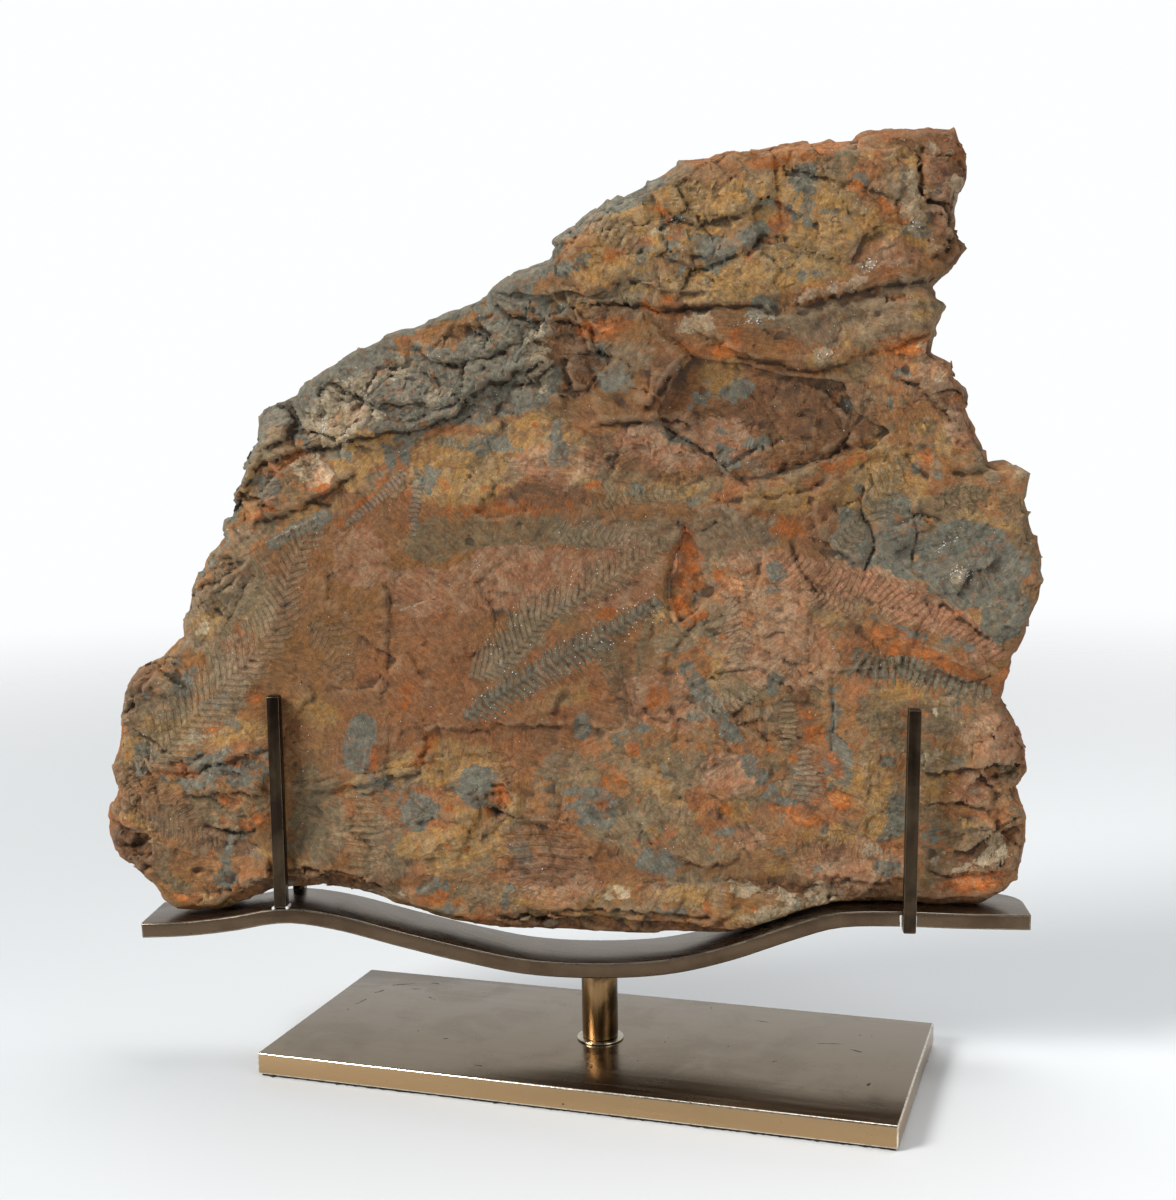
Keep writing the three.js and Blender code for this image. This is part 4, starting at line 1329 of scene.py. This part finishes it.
def mark_stone(mesh):
    x, y, z = to_cradle(vertices_of(mesh)).T
    rim = 1.0 - soft_step(rim_distance(mesh, x, y, z), 1.0, CRUST_WIDTH)
    rim *= 0.15 + 0.85 * (1 - soft_step(x, 20, 120)) * soft_step(z, 250, 380)
    shares = pigment_shares(x, y, z, rim)
    names = iter(PIGMENTS)
    for layer in STAIN_LAYERS:
        store(mesh, layer, *(shares[next(names)] for _ in range(3)))
    phase, rise, film = np.zeros(len(x)), np.full(len(x), -2.0), np.zeros(len(x))
    tint = np.tile(STAINS["olive"][0], (len(x), 1))
    for frond in FRONDS:
        at, run, climb = frond_comb(frond, x, z)
        at, run, climb = (part[climb > rise[at]] for part in (at, run, climb))
        phase[at], rise[at], film[at] = run, climb, frond[7]
        tint[at] = LEAF_TINTS[frond[6]]
    rise[y > -2] = -2.0
    store(mesh, "frond", phase, rise, film)
    store(mesh, "frond_tint", *tint.T)
    # How hollow or proud each point is; the finish paints shade and highlight from it.
    bend = hollowness(mesh)
    store(mesh, "hollow_or_proud", bend, bend, bend)


mark_stone(stone_mesh)
print("pigments, fronds and hollows marked on", len(stone_mesh.vertices), "vertices")

# %% [markdown]
# ### The finish of the stone
# Under the stains the stone is a fine sandy brown that drifts between tan and a pinkish
# brown. Each stain is laid over it where its share, shaken by a noise, passes one half. The
# comb of the fronds is drawn from their phase: dark gaps, paler leaflets and a fine vein.
# Bump repeats the comb and adds the sandy grain and small scratches.

# %% Colours and sizes of the finish
SANDY = (0.185, 0.108, 0.058)
HASH_DARK, HASH_LIGHT = (0.160, 0.112, 0.058), (0.345, 0.170, 0.068)
# The second colour is painted shade for the hollows, the third a painted highlight for proud
# edges.
SEAM, PAINTED_HOLLOW_SHADE, PAINTED_EDGE_HIGHLIGHT = (0.07, 0.045, 0.028), (0.045, 0.032, 0.022), (0.36, 0.27, 0.17)
LEAF_RIM, LEAF_VEIN = (0.045, 0.035, 0.026), (0.34, 0.26, 0.17)
PALE_SPECK, DARK_SPECK = (0.40, 0.31, 0.21), (0.08, 0.06, 0.045)
# Fragments of plant hash: size, shift of the pattern, and the most they tint the stone
HASH_SIZES = ((24, (0.2, 0.5, 0.1), 0.5), (9, (0.7, 0.3, 0.4), 0.45))
HASH_RELIEF = (550.0, 650.0)     # how strongly the slants of each size show in the relief
# Stray stains: grain, shift of the pattern, and the level above which they show
STRAYS = {
    "slate": (30, (0.3, 0, 0), 0.63), "rust": (20, (0, 0.4, 0.1), 0.65),
    "ochre": (34, (0.1, 0.7, 0), 0.57), "olive": (30, (0.6, 0.2, 0.5), 0.53),
    "taupe": (42, (0.8, 0.1, 0.3), 0.54),
}


# %% Plant hash: small fragments, each with its own tint and slant


def plant_hash(recipe, faced):
    """For each size: the random numbers of the fragments and their slants. Then the
    distance to the border of the large ones."""
    frayed = recipe.vector("ADD", faced, recipe.vector(
        "MULTIPLY", recipe.noise_color(8, 2), (0.010, 0.010, 0.010)))
    numbers, slants, borders = [], [], []
    for size, shift, _ in HASH_SIZES:
        grid = recipe.mapped(turn=(0, 25, 0), stretch=(0.62, 0.5, 1.0), shift=shift,
                             source=frayed)
        where = {"Vector": grid, "Scale": 1.0 / (size * MM)}
        cells = recipe.add("TexVoronoi", where)
        numbers.append(recipe.add("SeparateXYZ", {0: cells.outputs["Color"]}).outputs)
        reach = recipe.vector("SUBTRACT", grid, cells.outputs["Position"])
        lean = recipe.vector("SUBTRACT", cells.outputs["Color"], (0.5, 0.5, 0.5))
        slants.append(recipe.add("VectorMath", {0: reach, 1: lean},
                                 operation="DOT_PRODUCT").outputs["Value"])
        if not borders:
            borders.append(recipe.add("TexVoronoi", where, feature="DISTANCE_TO_EDGE"))
    return numbers, slants, borders[0].outputs["Distance"]


# %% Stains: where a share, shaken by a noise, passes one half


def lay_stains(recipe, color, share, shake, fleck):
    """Lays all stains over a colour. Also returns how far slate and rust cover it."""
    wide_fleck = recipe.noise(9.5, detail=2, rough=0.7)
    stray_noise = {name: recipe.noise(size, 2, 0.6, 0.0, recipe.mapped(shift=shift))
                   for name, (size, shift, _) in STRAYS.items()}
    covers = {}
    for name, (stain, other, hiding) in STAINS.items():
        level = recipe.plus(share[name], recipe.times(shake, 0.95))
        edge = 0.15 if name in SOFT_STAINS else 0.06
        cover = recipe.ramp(level, 0.5 - edge, 0.5 + edge)
        if name in STRAYS:
            limit = STRAYS[name][2]
            stray = recipe.plus(stray_noise[name], recipe.times(shake, 0.22))
            stray = recipe.times(recipe.ramp(stray, limit, limit + 0.5 * edge),
                                 recipe.ramp(share["mottle"], 0.3, 0.7))
            if name != "slate":
                stray = recipe.times(stray, recipe.ramp(share["slate"], 0.1, 0.4, 1.0, 0.0))
            cover = recipe.calc("MAXIMUM", cover, stray)
        worn = recipe.ramp(fleck, 0.30, 0.52, 0.35 * hiding, hiding)
        tone = recipe.blend(recipe.ramp(wide_fleck, 0.42, 0.60), stain, other)
        color = recipe.blend(recipe.times(cover, worn), color, tone)
        covers[name] = cover
    return color, covers["slate"], covers["rust"]


# %% The comb of leaflets: each is widest at the stalk and ends in a point


def lay_leaflets(recipe, color, blur, fleck):
    """Draws the fronds over a colour. Also returns where the leaflets are."""
    phase, rise, film = recipe.attribute("frond")
    tint = recipe.add("Attribute", attribute_name="frond_tint").outputs["Color"]
    part = recipe.calc("FRACT", recipe.plus(phase, recipe.times(blur, 0.35)))
    part = recipe.calc("ABSOLUTE", recipe.minus(part, 0.5))
    climb = recipe.plus(rise, recipe.times(blur, 0.7))
    inside = recipe.minus(recipe.ramp(climb, -0.05, 0.5, 0.0, 0.43), part)
    leaf = recipe.ramp(inside, -0.03, 0.05)
    rim = recipe.times(recipe.ramp(inside, -0.14, -0.02), recipe.minus(1.0, leaf),
                       recipe.ramp(climb, -0.05, 0.1), recipe.ramp(film, 0.1, 0.8))
    vein = recipe.times(recipe.ramp(part, 0.09, 0.02), leaf)
    hide = recipe.times(leaf, film, recipe.ramp(fleck, 0.32, 0.56, 0.5, 1.0))
    color = recipe.blend(hide, color, tint)
    color = recipe.blend(recipe.times(rim, 0.26), color, LEAF_RIM)
    return recipe.blend(recipe.times(vein, 0.22), color, LEAF_VEIN), leaf


# %% Seams, sandy grain and specks


def lay_grain(recipe, color, seams, fine, striation, grit):
    color = recipe.blend(recipe.times(seams, 0.5), color, SEAM)
    color = recipe.scaled(color, recipe.times(
        recipe.ramp(fine, 0.25, 0.75, 0.74, 1.22), recipe.ramp(striation, 0.3, 0.7, 0.84, 1.13),
        recipe.ramp(grit, 0.25, 0.75, 0.80, 1.18)))
    color = recipe.blend(recipe.times(recipe.ramp(grit, 0.68, 0.76), 0.35), color, PALE_SPECK)
    speck_noise = recipe.noise(1.7, 2, 0.5, 0, recipe.mapped(shift=(0.2, 0.1, 0)))
    specks = recipe.times(recipe.ramp(speck_noise, 0.68, 0.74), 0.4)
    return recipe.blend(specks, color, DARK_SPECK)


# %% Painted light: rust lifted out of shade, painted shade in the hollows and a painted highlight on proud edges


def paint_hollow_shade_and_highlight(recipe, color, share, slate, rust):
    hollow = recipe.attribute("hollow_or_proud")[0]
    # Painted light: where rust lies the colour is made up to 1.7 times brighter, lifting it out of
    # the shade of its hollows; mottled zones are made up to 30 percent lighter.
    lift = recipe.times(recipe.ramp(share["mottle"], 0.2, 0.7, 0.0, 0.3),
                        recipe.ramp(slate, 0, 1, 1.0, 0.5))
    color = recipe.scaled(color, recipe.plus(
        lift, recipe.ramp(share["rust"], 0.6, 0.95, 1.0, 1.7)))
    # Painted shade: hollows are darkened towards a near-black brown, much less where rust lies.
    hollow_shade = recipe.times(recipe.ramp(hollow, 0.05, 0.40, 0.0, 0.80),
                        recipe.ramp(rust, 0.0, 1.0, 1.0, 0.15))
    color = recipe.blend(hollow_shade, color, PAINTED_HOLLOW_SHADE)
    # Proud edges are painted paler, less so on slate: a painted highlight, and rubbed wear.
    rubbed_highlight = recipe.times(recipe.ramp(hollow, -0.08, -0.36, 0.0, 0.25),
                          recipe.ramp(slate, 0.0, 1.0, 1.0, 0.4))
    return recipe.blend(rubbed_highlight, color, PAINTED_EDGE_HIGHLIGHT)


# %% The whole finish of the stone


def stone_finish():
    recipe = Recipe("ironstone")
    share = {}
    names = iter(PIGMENTS)
    for layer in STAIN_LAYERS:
        share.update(zip((next(names) for _ in range(3)), recipe.attribute(layer)))
    mottle = share["mottle"]
    patchy = recipe.noise(13, detail=3, rough=0.62)
    fine = recipe.noise(3.4, detail=2, rough=0.65)
    grit = recipe.noise(0.8, detail=1.5, rough=0.7)
    fleck = recipe.noise(5.5, detail=2, rough=0.7)
    blur = recipe.minus(recipe.plus(patchy, fleck), 1.0)

    color = recipe.blend(recipe.ramp(recipe.noise(70, detail=2), 0.4, 0.6), TAN, PINK_TAN)
    color = recipe.blend(recipe.times(recipe.ramp(patchy, 0.38, 0.66), 0.5), color, SANDY)

    faced = recipe.mapped(turn=(0, 0, -math.degrees(TURN)))
    hash_cells, tilts, border = plant_hash(recipe, faced)
    jump = recipe.minus(recipe.plus(hash_cells[0][0], hash_cells[1][2]), 1.0)
    shake = recipe.plus(recipe.times(blur, 0.6), recipe.times(
        jump, recipe.ramp(mottle, -0.5, 0.0, 0.05, 0.3)))
    turned = recipe.add("VectorRotate", {
        "Vector": faced, "Axis": (0, 1, 0),
        "Angle": recipe.times(hash_cells[0][1], 3.14)}).outputs[0]
    striation = recipe.noise(1.3, 2, 0.6, 0.0, recipe.mapped(
        stretch=(1.0, 1.0, 0.07), source=turned))
    spread = recipe.ramp(mottle, -0.5, 0.7, 0.0, 1.0)
    for cells, (_, _, most) in zip(hash_cells, HASH_SIZES):
        amount = recipe.times(spread, most)
        dark = recipe.times(recipe.ramp(cells[0], 0.6, 0.95), amount)
        color = recipe.blend(dark, color, HASH_DARK)
        light = recipe.times(recipe.ramp(cells[2], 0.6, 1.0), amount)
        color = recipe.blend(light, color, HASH_LIGHT)

    color, slate, rust = lay_stains(recipe, color, share, shake, fleck)
    color, leaf = lay_leaflets(recipe, color, blur, fleck)
    seam_noise = recipe.noise(17, 3, 0.5, 0, recipe.mapped(shift=(0.9, 0, 0.2)))
    seams = recipe.times(recipe.ramp(border, 0.045, 0.0), recipe.ramp(seam_noise, 0.46, 0.6),
                         spread)
    color = lay_grain(recipe, color, seams, fine, striation, grit)
    color = paint_hollow_shade_and_highlight(recipe, color, share, slate, rust)

    broken = recipe.ramp(mottle, 0.1, 0.6, 0.35, 1.0)
    height = recipe.plus(
        recipe.times(patchy, 0.75), recipe.times(hash_cells[1][1], 0.35),
        recipe.times(striation, 0.4), recipe.times(fine, 0.55), recipe.times(grit, 0.4),
        recipe.times(leaf, 0.5),
        *(recipe.times(tilt, broken, depth) for tilt, depth in zip(tilts, HASH_RELIEF)))
    rough = recipe.minus(recipe.ramp(fine, 0.2, 0.8, 0.72, 0.92), recipe.times(slate, 0.16))
    recipe.set(Base_Color=color, Roughness=rough, Normal=recipe.bump(height, 1.0, 0.85),
               Specular_IOR_Level=0.28)
    return recipe.material


IRONSTONE = stone_finish()
shade(stone_mesh, IRONSTONE, 180)
stone = add_piece("fossil_slab_stone", stone_mesh, "turntable", "stone", "fossil_slab")

# %% [markdown]
# ## Grains, flakes and welds with Geometry Nodes
# Three things repeat by the hundred: pale calcite grains on the face, loose flakes where the
# stone tore, and the ripples of the weld beads at the prongs. Each is one small shape put on
# many points, which is what Geometry Nodes do best. The trees are built here with named
# inputs and fixed seeds. The result is realised and turned into a plain mesh.

# %% Helpers for geometry trees


class Growth(NodeMaker):
    """A geometry node tree under construction, with named inputs."""

    prefix = "GeometryNode"

    def __init__(self, name, inputs):
        self.tree = bpy.data.node_groups.new(name, "GeometryNodeTree")
        face = self.tree.interface
        face.new_socket("Geometry", in_out="INPUT", socket_type="NodeSocketGeometry")
        for label, kind in inputs.items():
            face.new_socket(label, in_out="INPUT", socket_type="NodeSocket" + kind)
        face.new_socket("Geometry", in_out="OUTPUT", socket_type="NodeSocketGeometry")
        self.start = self.tree.nodes.new("NodeGroupInput").outputs
        self.end = self.tree.nodes.new("NodeGroupOutput").inputs

    def random(self, low, high, seed, vector=False):
        """A random number, or three, for each point."""
        kind = "FLOAT_VECTOR" if vector else "FLOAT"
        node = self.add("FunctionNodeRandomValue", data_type=kind)
        shown = [s for s in node.inputs if s.enabled]
        for number, value in ((0, low), (1, high), (-1, seed)):
            self.feed(shown[number], value)
        return next(s for s in node.outputs if s.enabled)

    def away_from(self, vector):
        """The opposite of a vector."""
        return self.vector("MULTIPLY", vector, (-1.0, -1.0, -1.0))

    def finish(self, points, instance, rotation, scale):
        """Puts a shape on every point, as real mesh with the material from the inputs."""
        placed = self.add("InstanceOnPoints", {
            "Points": points, "Instance": instance, "Rotation": rotation, "Scale": scale,
        }).outputs[0]
        real = self.add("RealizeInstances", {"Geometry": placed}).outputs[0]
        done = self.add("SetMaterial", {
            "Geometry": real, "Material": self.start["Material"]}).outputs[0]
        self.tree.links.new(done, self.end[0])


def grow(growth, mesh, name, **values):
    """Runs a tree on a mesh and returns the result as a plain mesh."""
    holder = bpy.data.objects.new("holder", mesh)
    scene.collection.objects.link(holder)
    modifier = holder.modifiers.new("growth", "NODES")
    modifier.node_group = growth.tree
    for item in growth.tree.interface.items_tree:
        key = item.name.replace(" ", "_").lower()
        if item.in_out == "INPUT" and key in values:
            modifier[item.identifier] = values[key]
    result = evaluated_mesh(holder)
    result.name = name
    bpy.data.objects.remove(holder)
    return result


def joined(name, meshes):
    """One mesh from several that share a material."""
    form = bmesh.new()
    for mesh in meshes:
        form.from_mesh(mesh)
    whole = bpy.data.meshes.new(name)
    form.to_mesh(whole)
    form.free()
    whole.materials.append(meshes[0].materials[0])
    whole.polygons.foreach_set("use_smooth", [True] * len(whole.polygons))
    return whole


# %% [markdown]
# ### Loose flakes
# Where the beds tore, thin angular chips still lie in the surface. One chip is the convex
# hull of a few random points. The tree scatters it over the stone, more densely where the
# face is rough, lays it nearly flat, and sinks it halfway. The chips inherit the pigments of
# the stone below them, so the same finish suits them.

# %% A chip of stone and where it lies


def make_chip(name, seed, flat):
    rng = np.random.default_rng(seed)
    form = bmesh.new()
    for point in rng.uniform(-1, 1, (9, 3)) * (1.0, 0.75, flat):
        form.verts.new(point)
    hull = bmesh.ops.convex_hull(form, input=form.verts)
    loose = [v for v in hull["geom_interior"] if isinstance(v, bmesh.types.BMVert)]
    bmesh.ops.delete(form, geom=loose, context="VERTS")
    chip = bpy.data.objects.new(name, mesh_from(form, name))
    scene.collection.objects.link(chip)
    return chip


def scatter_tree():
    growth = Growth("scattered_chips", {
        "Chip": "Object", "Smallest": "Float", "Largest": "Float", "Density": "Float",
        "Tilt": "Float", "Seed": "Int", "Material": "Material"})
    start = growth.start
    weight = growth.add("InputNamedAttribute", {"Name": "scatter"},
                        data_type="FLOAT").outputs[0]
    points = growth.add("DistributePointsOnFaces", {
        "Mesh": start["Geometry"], "Density": growth.times(weight, start["Density"]),
        "Seed": start["Seed"]})
    chip = growth.add("ObjectInfo", {"Object": start["Chip"]})
    tilt = growth.add("ShaderNodeCombineXYZ", {
        0: start["Tilt"], 1: start["Tilt"], 2: math.pi}).outputs[0]
    turn = growth.random(growth.away_from(tilt), tilt, 3, vector=True)
    spin = growth.add("FunctionNodeRotateRotation", {
        "Rotation": points.outputs["Rotation"], "Rotate By": turn},
        rotation_space="LOCAL").outputs[0]
    size = growth.random(start["Smallest"], start["Largest"], 5)
    growth.finish(points.outputs["Points"], chip.outputs["Geometry"], spin, size)
    return growth


def with_scatter(mesh, weight):
    """A copy of the stone's mesh that says how densely each place is strewn."""
    copy = mesh.copy()
    layer = copy.attributes.new("scatter", "FLOAT", "POINT")
    layer.data.foreach_set("value", weight.astype(np.float32))
    return copy


PRONG_MARGIN = 6.0               # millimetres kept free of loose bits beside the prongs
stone_x, stone_y, stone_z = to_cradle(vertices_of(stone_mesh)).T
on_front = 1.0 - soft_step(stone_y, -6, 2)
clear_of_prongs = np.ones(len(stone_x))
for prong in PRONGS[:2]:
    low, high = cradle_box(prong)
    close = np.abs(stone_x - (low[0] + high[0]) / 2) < (high[0] - low[0]) / 2 + PRONG_MARGIN
    clear_of_prongs[close & (stone_z < high[2] + PRONG_MARGIN)] = 0.0
torn_here = np.clip(roughness_of(stone_x, stone_z) - 0.1, 0, 1) ** 1.3 * on_front
clear_of_foot = soft_step(stone_z, 118, 128)
SCATTER = scatter_tree()
chip = make_chip("stone_chip", 8, 0.28)
flakes = grow(SCATTER, with_scatter(stone_mesh, torn_here * clear_of_prongs * clear_of_foot),
              "stone_flakes", chip=chip, smallest=1.1 * MM, largest=4.2 * MM, density=26000.0,
              tilt=0.45, seed=4, material=IRONSTONE)
bpy.data.objects.remove(chip)
flakes.polygons.foreach_set("use_smooth", [False] * len(flakes.polygons))
add_piece("stone_flakes", flakes, "turntable", "stone")

# %% [markdown]
# ### Calcite grains
# Tiny whitish grains sit all over the face and mark the tips of the leaflets of the two
# fronds in the middle. The strewn ones use the same tree. The rows follow the leaflet tips:
# the tree spaces points along a line, then drops each grain onto the stone with a ray.

# %% Grains in rows and strewn grains


def row_tree():
    growth = Growth("grains_in_a_row", {
        "Stone": "Object", "Outward": "Vector", "Pitch": "Float", "Size": "Float",
        "Seed": "Int", "Material": "Material"})
    start = growth.start
    line = growth.add("MeshToCurve", {0: start["Geometry"]}).outputs[0]
    points = growth.add("CurveToPoints", {
        "Curve": line, "Length": start["Pitch"]}, mode="LENGTH").outputs[0]
    stone_info = growth.add("ObjectInfo", {"Object": start["Stone"]})
    spot = growth.add("InputPosition").outputs[0]
    jitter = growth.random((-1.9 * MM,) * 3, (1.9 * MM,) * 3, start["Seed"], vector=True)
    ray = growth.add("Raycast", {
        "Target Geometry": stone_info.outputs["Geometry"],
        "Source Position": growth.vector("ADD", spot, jitter),
        "Ray Direction": growth.away_from(start["Outward"]), "Ray Length": 0.2})
    landed = growth.add("SetPosition", {
        "Geometry": points, "Position": ray.outputs["Hit Position"]}).outputs[0]
    missed = growth.add("FunctionNodeBooleanMath", {0: ray.outputs["Is Hit"]},
                        operation="NOT").outputs[0]
    spared = growth.add("FunctionNodeCompare", {
        0: growth.random(0.0, 1.0, 21), 1: 0.6}, operation="GREATER_THAN").outputs[0]
    unwanted = growth.add("FunctionNodeBooleanMath", {0: missed, 1: spared},
                          operation="OR").outputs[0]
    landed = growth.add("DeleteGeometry", {
        "Geometry": landed, "Selection": unwanted}).outputs[0]
    grain = growth.add("MeshIcoSphere", {"Radius": 1.0, "Subdivisions": 1})
    size = growth.times(growth.random(0.2, 0.8, 9), start["Size"])
    spin = growth.random((-3.1,) * 3, (3.1,) * 3, 12, vector=True)
    growth.finish(landed, grain.outputs["Mesh"], spin, size)
    return growth


def line_mesh(points):
    """An open chain of edges through points given in the cradle's millimetres."""
    mesh = bpy.data.meshes.new("line")
    edges = [(i, i + 1) for i in range(len(points) - 1)]
    mesh.from_pydata([tuple(p) for p in to_world(np.array(points, float))], edges, [])
    return mesh


def beside(path, distance):
    """A line that runs beside a path, some way to its left (or right, if negative)."""
    heading = np.gradient(path, axis=0)
    heading /= np.hypot(heading[:, 0], heading[:, 1])[:, None]
    return path + distance * np.stack([-heading[:, 1], heading[:, 0]], 1)


def calcite_finish(name, pale, stained):
    recipe = Recipe(name)
    tone = recipe.ramp(recipe.noise(6, detail=3), 0.35, 0.65)
    recipe.set(Base_Color=recipe.blend(tone, pale, stained),
               Roughness=0.6, Normal=recipe.bump(recipe.noise(0.7, detail=2), 0.15, 0.6))
    return recipe.material


CALCITE = calcite_finish("calcite", (0.25, 0.185, 0.115), (0.17, 0.115, 0.065))
WHITE_CALCITE = calcite_finish("white_calcite", (0.62, 0.60, 0.54), (0.42, 0.36, 0.27))
OUTWARD = Vector((SIN, -COS, 0.0))
ROWS = row_tree()
grain_meshes = []
# Which frond has grains, how far to its left or right, the pitch, and the grain size
GRAIN_ROWS = [(3, 7, 4.3, 0.62), (3, 4, 4.3, 0.5), (3, -11, 4.3, 0.6), (3, -5, 4.3, 0.5),
              (4, 8, 4.6, 0.55), (4, 14, 4.6, 0.6), (4, 19, 4.6, 0.5), (4, -5, 4.6, 0.5),
              (5, 6, 4.6, 0.5), (5, 12, 4.6, 0.5), (5, -7, 4.6, 0.5), (20, 9, 4.4, 0.4),
              (20, -10, 4.4, 0.4)]
for number, (frond, distance, pitch, size) in enumerate(GRAIN_ROWS):
    line = beside(drawn(FRONDS[frond][0]), distance)
    points = [(px, -60.0, pz) for px, pz in line]
    grain_meshes.append(grow(
        ROWS, line_mesh(points), "grains", stone=stone, outward=OUTWARD,
        pitch=pitch * MM, size=size * MM, seed=number, material=CALCITE))

grain = make_chip("calcite_grain", 3, 0.8)
cream_here = pigment_shares(stone_x, stone_y, stone_z)["cream"]
calm_here = on_front * clear_of_prongs * clear_of_foot * (
    0.25 + np.clip(cream_here * 2.2 - 0.4, 0, 1.6))
grain_meshes.append(grow(
    SCATTER, with_scatter(stone_mesh, calm_here), "grains", chip=grain, smallest=0.18 * MM,
    largest=0.62 * MM, density=9000.0, tilt=1.0, seed=6, material=CALCITE))
add_piece("calcite_grains", joined("calcite_grains", grain_meshes), "turntable", "stone")

# White flecks: centre, half width, half height and tilt of each strewn patch
WHITE_SPOTS = [(233, 328, 9, 8, 25), (226, 346, 9, 3, 30), (57, 549, 9, 2, 28),
               (176, 519, 6, 4), (-168, 424, 8, 6, -20), (205, 545, 5, 4),
               (147, 465, 5, 4), (100, 486, 20, 2, 10)]
strewn = np.zeros(len(stone_x))
for spot in WHITE_SPOTS:
    reach = patch_distance(stone_x, stone_z, *spot)
    strewn = np.maximum(strewn, on_front * (1.0 - soft_step(reach, 0.3, 1.1)))
flecks = grow(SCATTER, with_scatter(stone_mesh, strewn), "calcite_flecks", chip=grain,
              smallest=0.25 * MM, largest=1.0 * MM, density=230000.0, tilt=1.0, seed=9,
              material=WHITE_CALCITE)
add_piece("calcite_flecks", joined("calcite_flecks", [flecks]), "turntable", "stone")
bpy.data.objects.remove(grain)

# %% [markdown]
# ### Welds
# Each prong is welded to the bar with small beads. A bead is a row of overlapping drops of
# metal, each a little ahead of the last. The tree lays a squashed ball at every step along
# a line.

# %% Weld beads at the prongs


def weld_tree():
    growth = Growth("weld_bead", {
        "Pitch": "Float", "Width": "Float", "Seed": "Int", "Material": "Material"})
    start = growth.start
    line = growth.add("MeshToCurve", {0: start["Geometry"]}).outputs[0]
    points = growth.add("CurveToPoints", {
        "Curve": line, "Length": start["Pitch"]}, mode="LENGTH")
    drop = growth.add("MeshUVSphere", {
        "Segments": 8, "Rings": 6, "Radius": 1.0}).outputs["Mesh"]
    size = growth.times(growth.random(0.8, 1.12, start["Seed"]), start["Width"])
    shape = growth.add("ShaderNodeCombineXYZ", {
        0: size, 1: size, 2: growth.times(size, 0.55)}).outputs[0]
    growth.finish(points.outputs["Points"], drop, points.outputs["Rotation"], shape)
    return growth


WELD_METAL = bronze(
    "weld_brass", (0.30, 0.215, 0.125), (0.13, 0.085, 0.048), 0.42, (1, 1, 1), patina=(0.45, 0.6))
BEAD_WIDTH, BEAD_PITCH = 1.0, 0.75
bar_low, bar_high = cradle_box("cradle")
WELDS = weld_tree()
beads = []
for number, prong in enumerate(PRONGS):
    low, high = cradle_box(prong)
    if number == 0:
        left, right, behind, z = low[0] - 0.6, high[0] + 0.6, high[1] + 0.4, low[2] + 0.4
        lines = [[(left, low[1], z - 0.5), (left, behind, z - 0.5), (right, behind, z),
                  (right, low[1], z)]]
    else:
        y = bar_low[1] - 0.1 if low[1] < 0 else bar_high[1] + 0.1
        lines = [[(x, y, low[2] + 3.0), (x, y, low[2] + 9.5)]
                 for x in (low[0] - 0.4, low[0] + 8.6)]
    for line in lines:
        beads.append(grow(WELDS, line_mesh(line), "bead", pitch=BEAD_PITCH * MM,
                          width=BEAD_WIDTH * MM, seed=number, material=WELD_METAL))
add_piece("weld_beads", joined("weld_beads", beads), "turntable", "bronze_bar")

# %% [markdown]
# ## Size of the finished pieces
# The box round all shown pieces, leaving out the floor, is printed in millimetres. The finer
# pieces have to stay inside the imported model's box, apart from a small margin.

# %% Print the box round all pieces
visual_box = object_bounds()
for axis, low, high in zip("XYZ", *visual_box):
    print(f"{axis}: {low / MM:.1f} to {high / MM:.1f} mm")
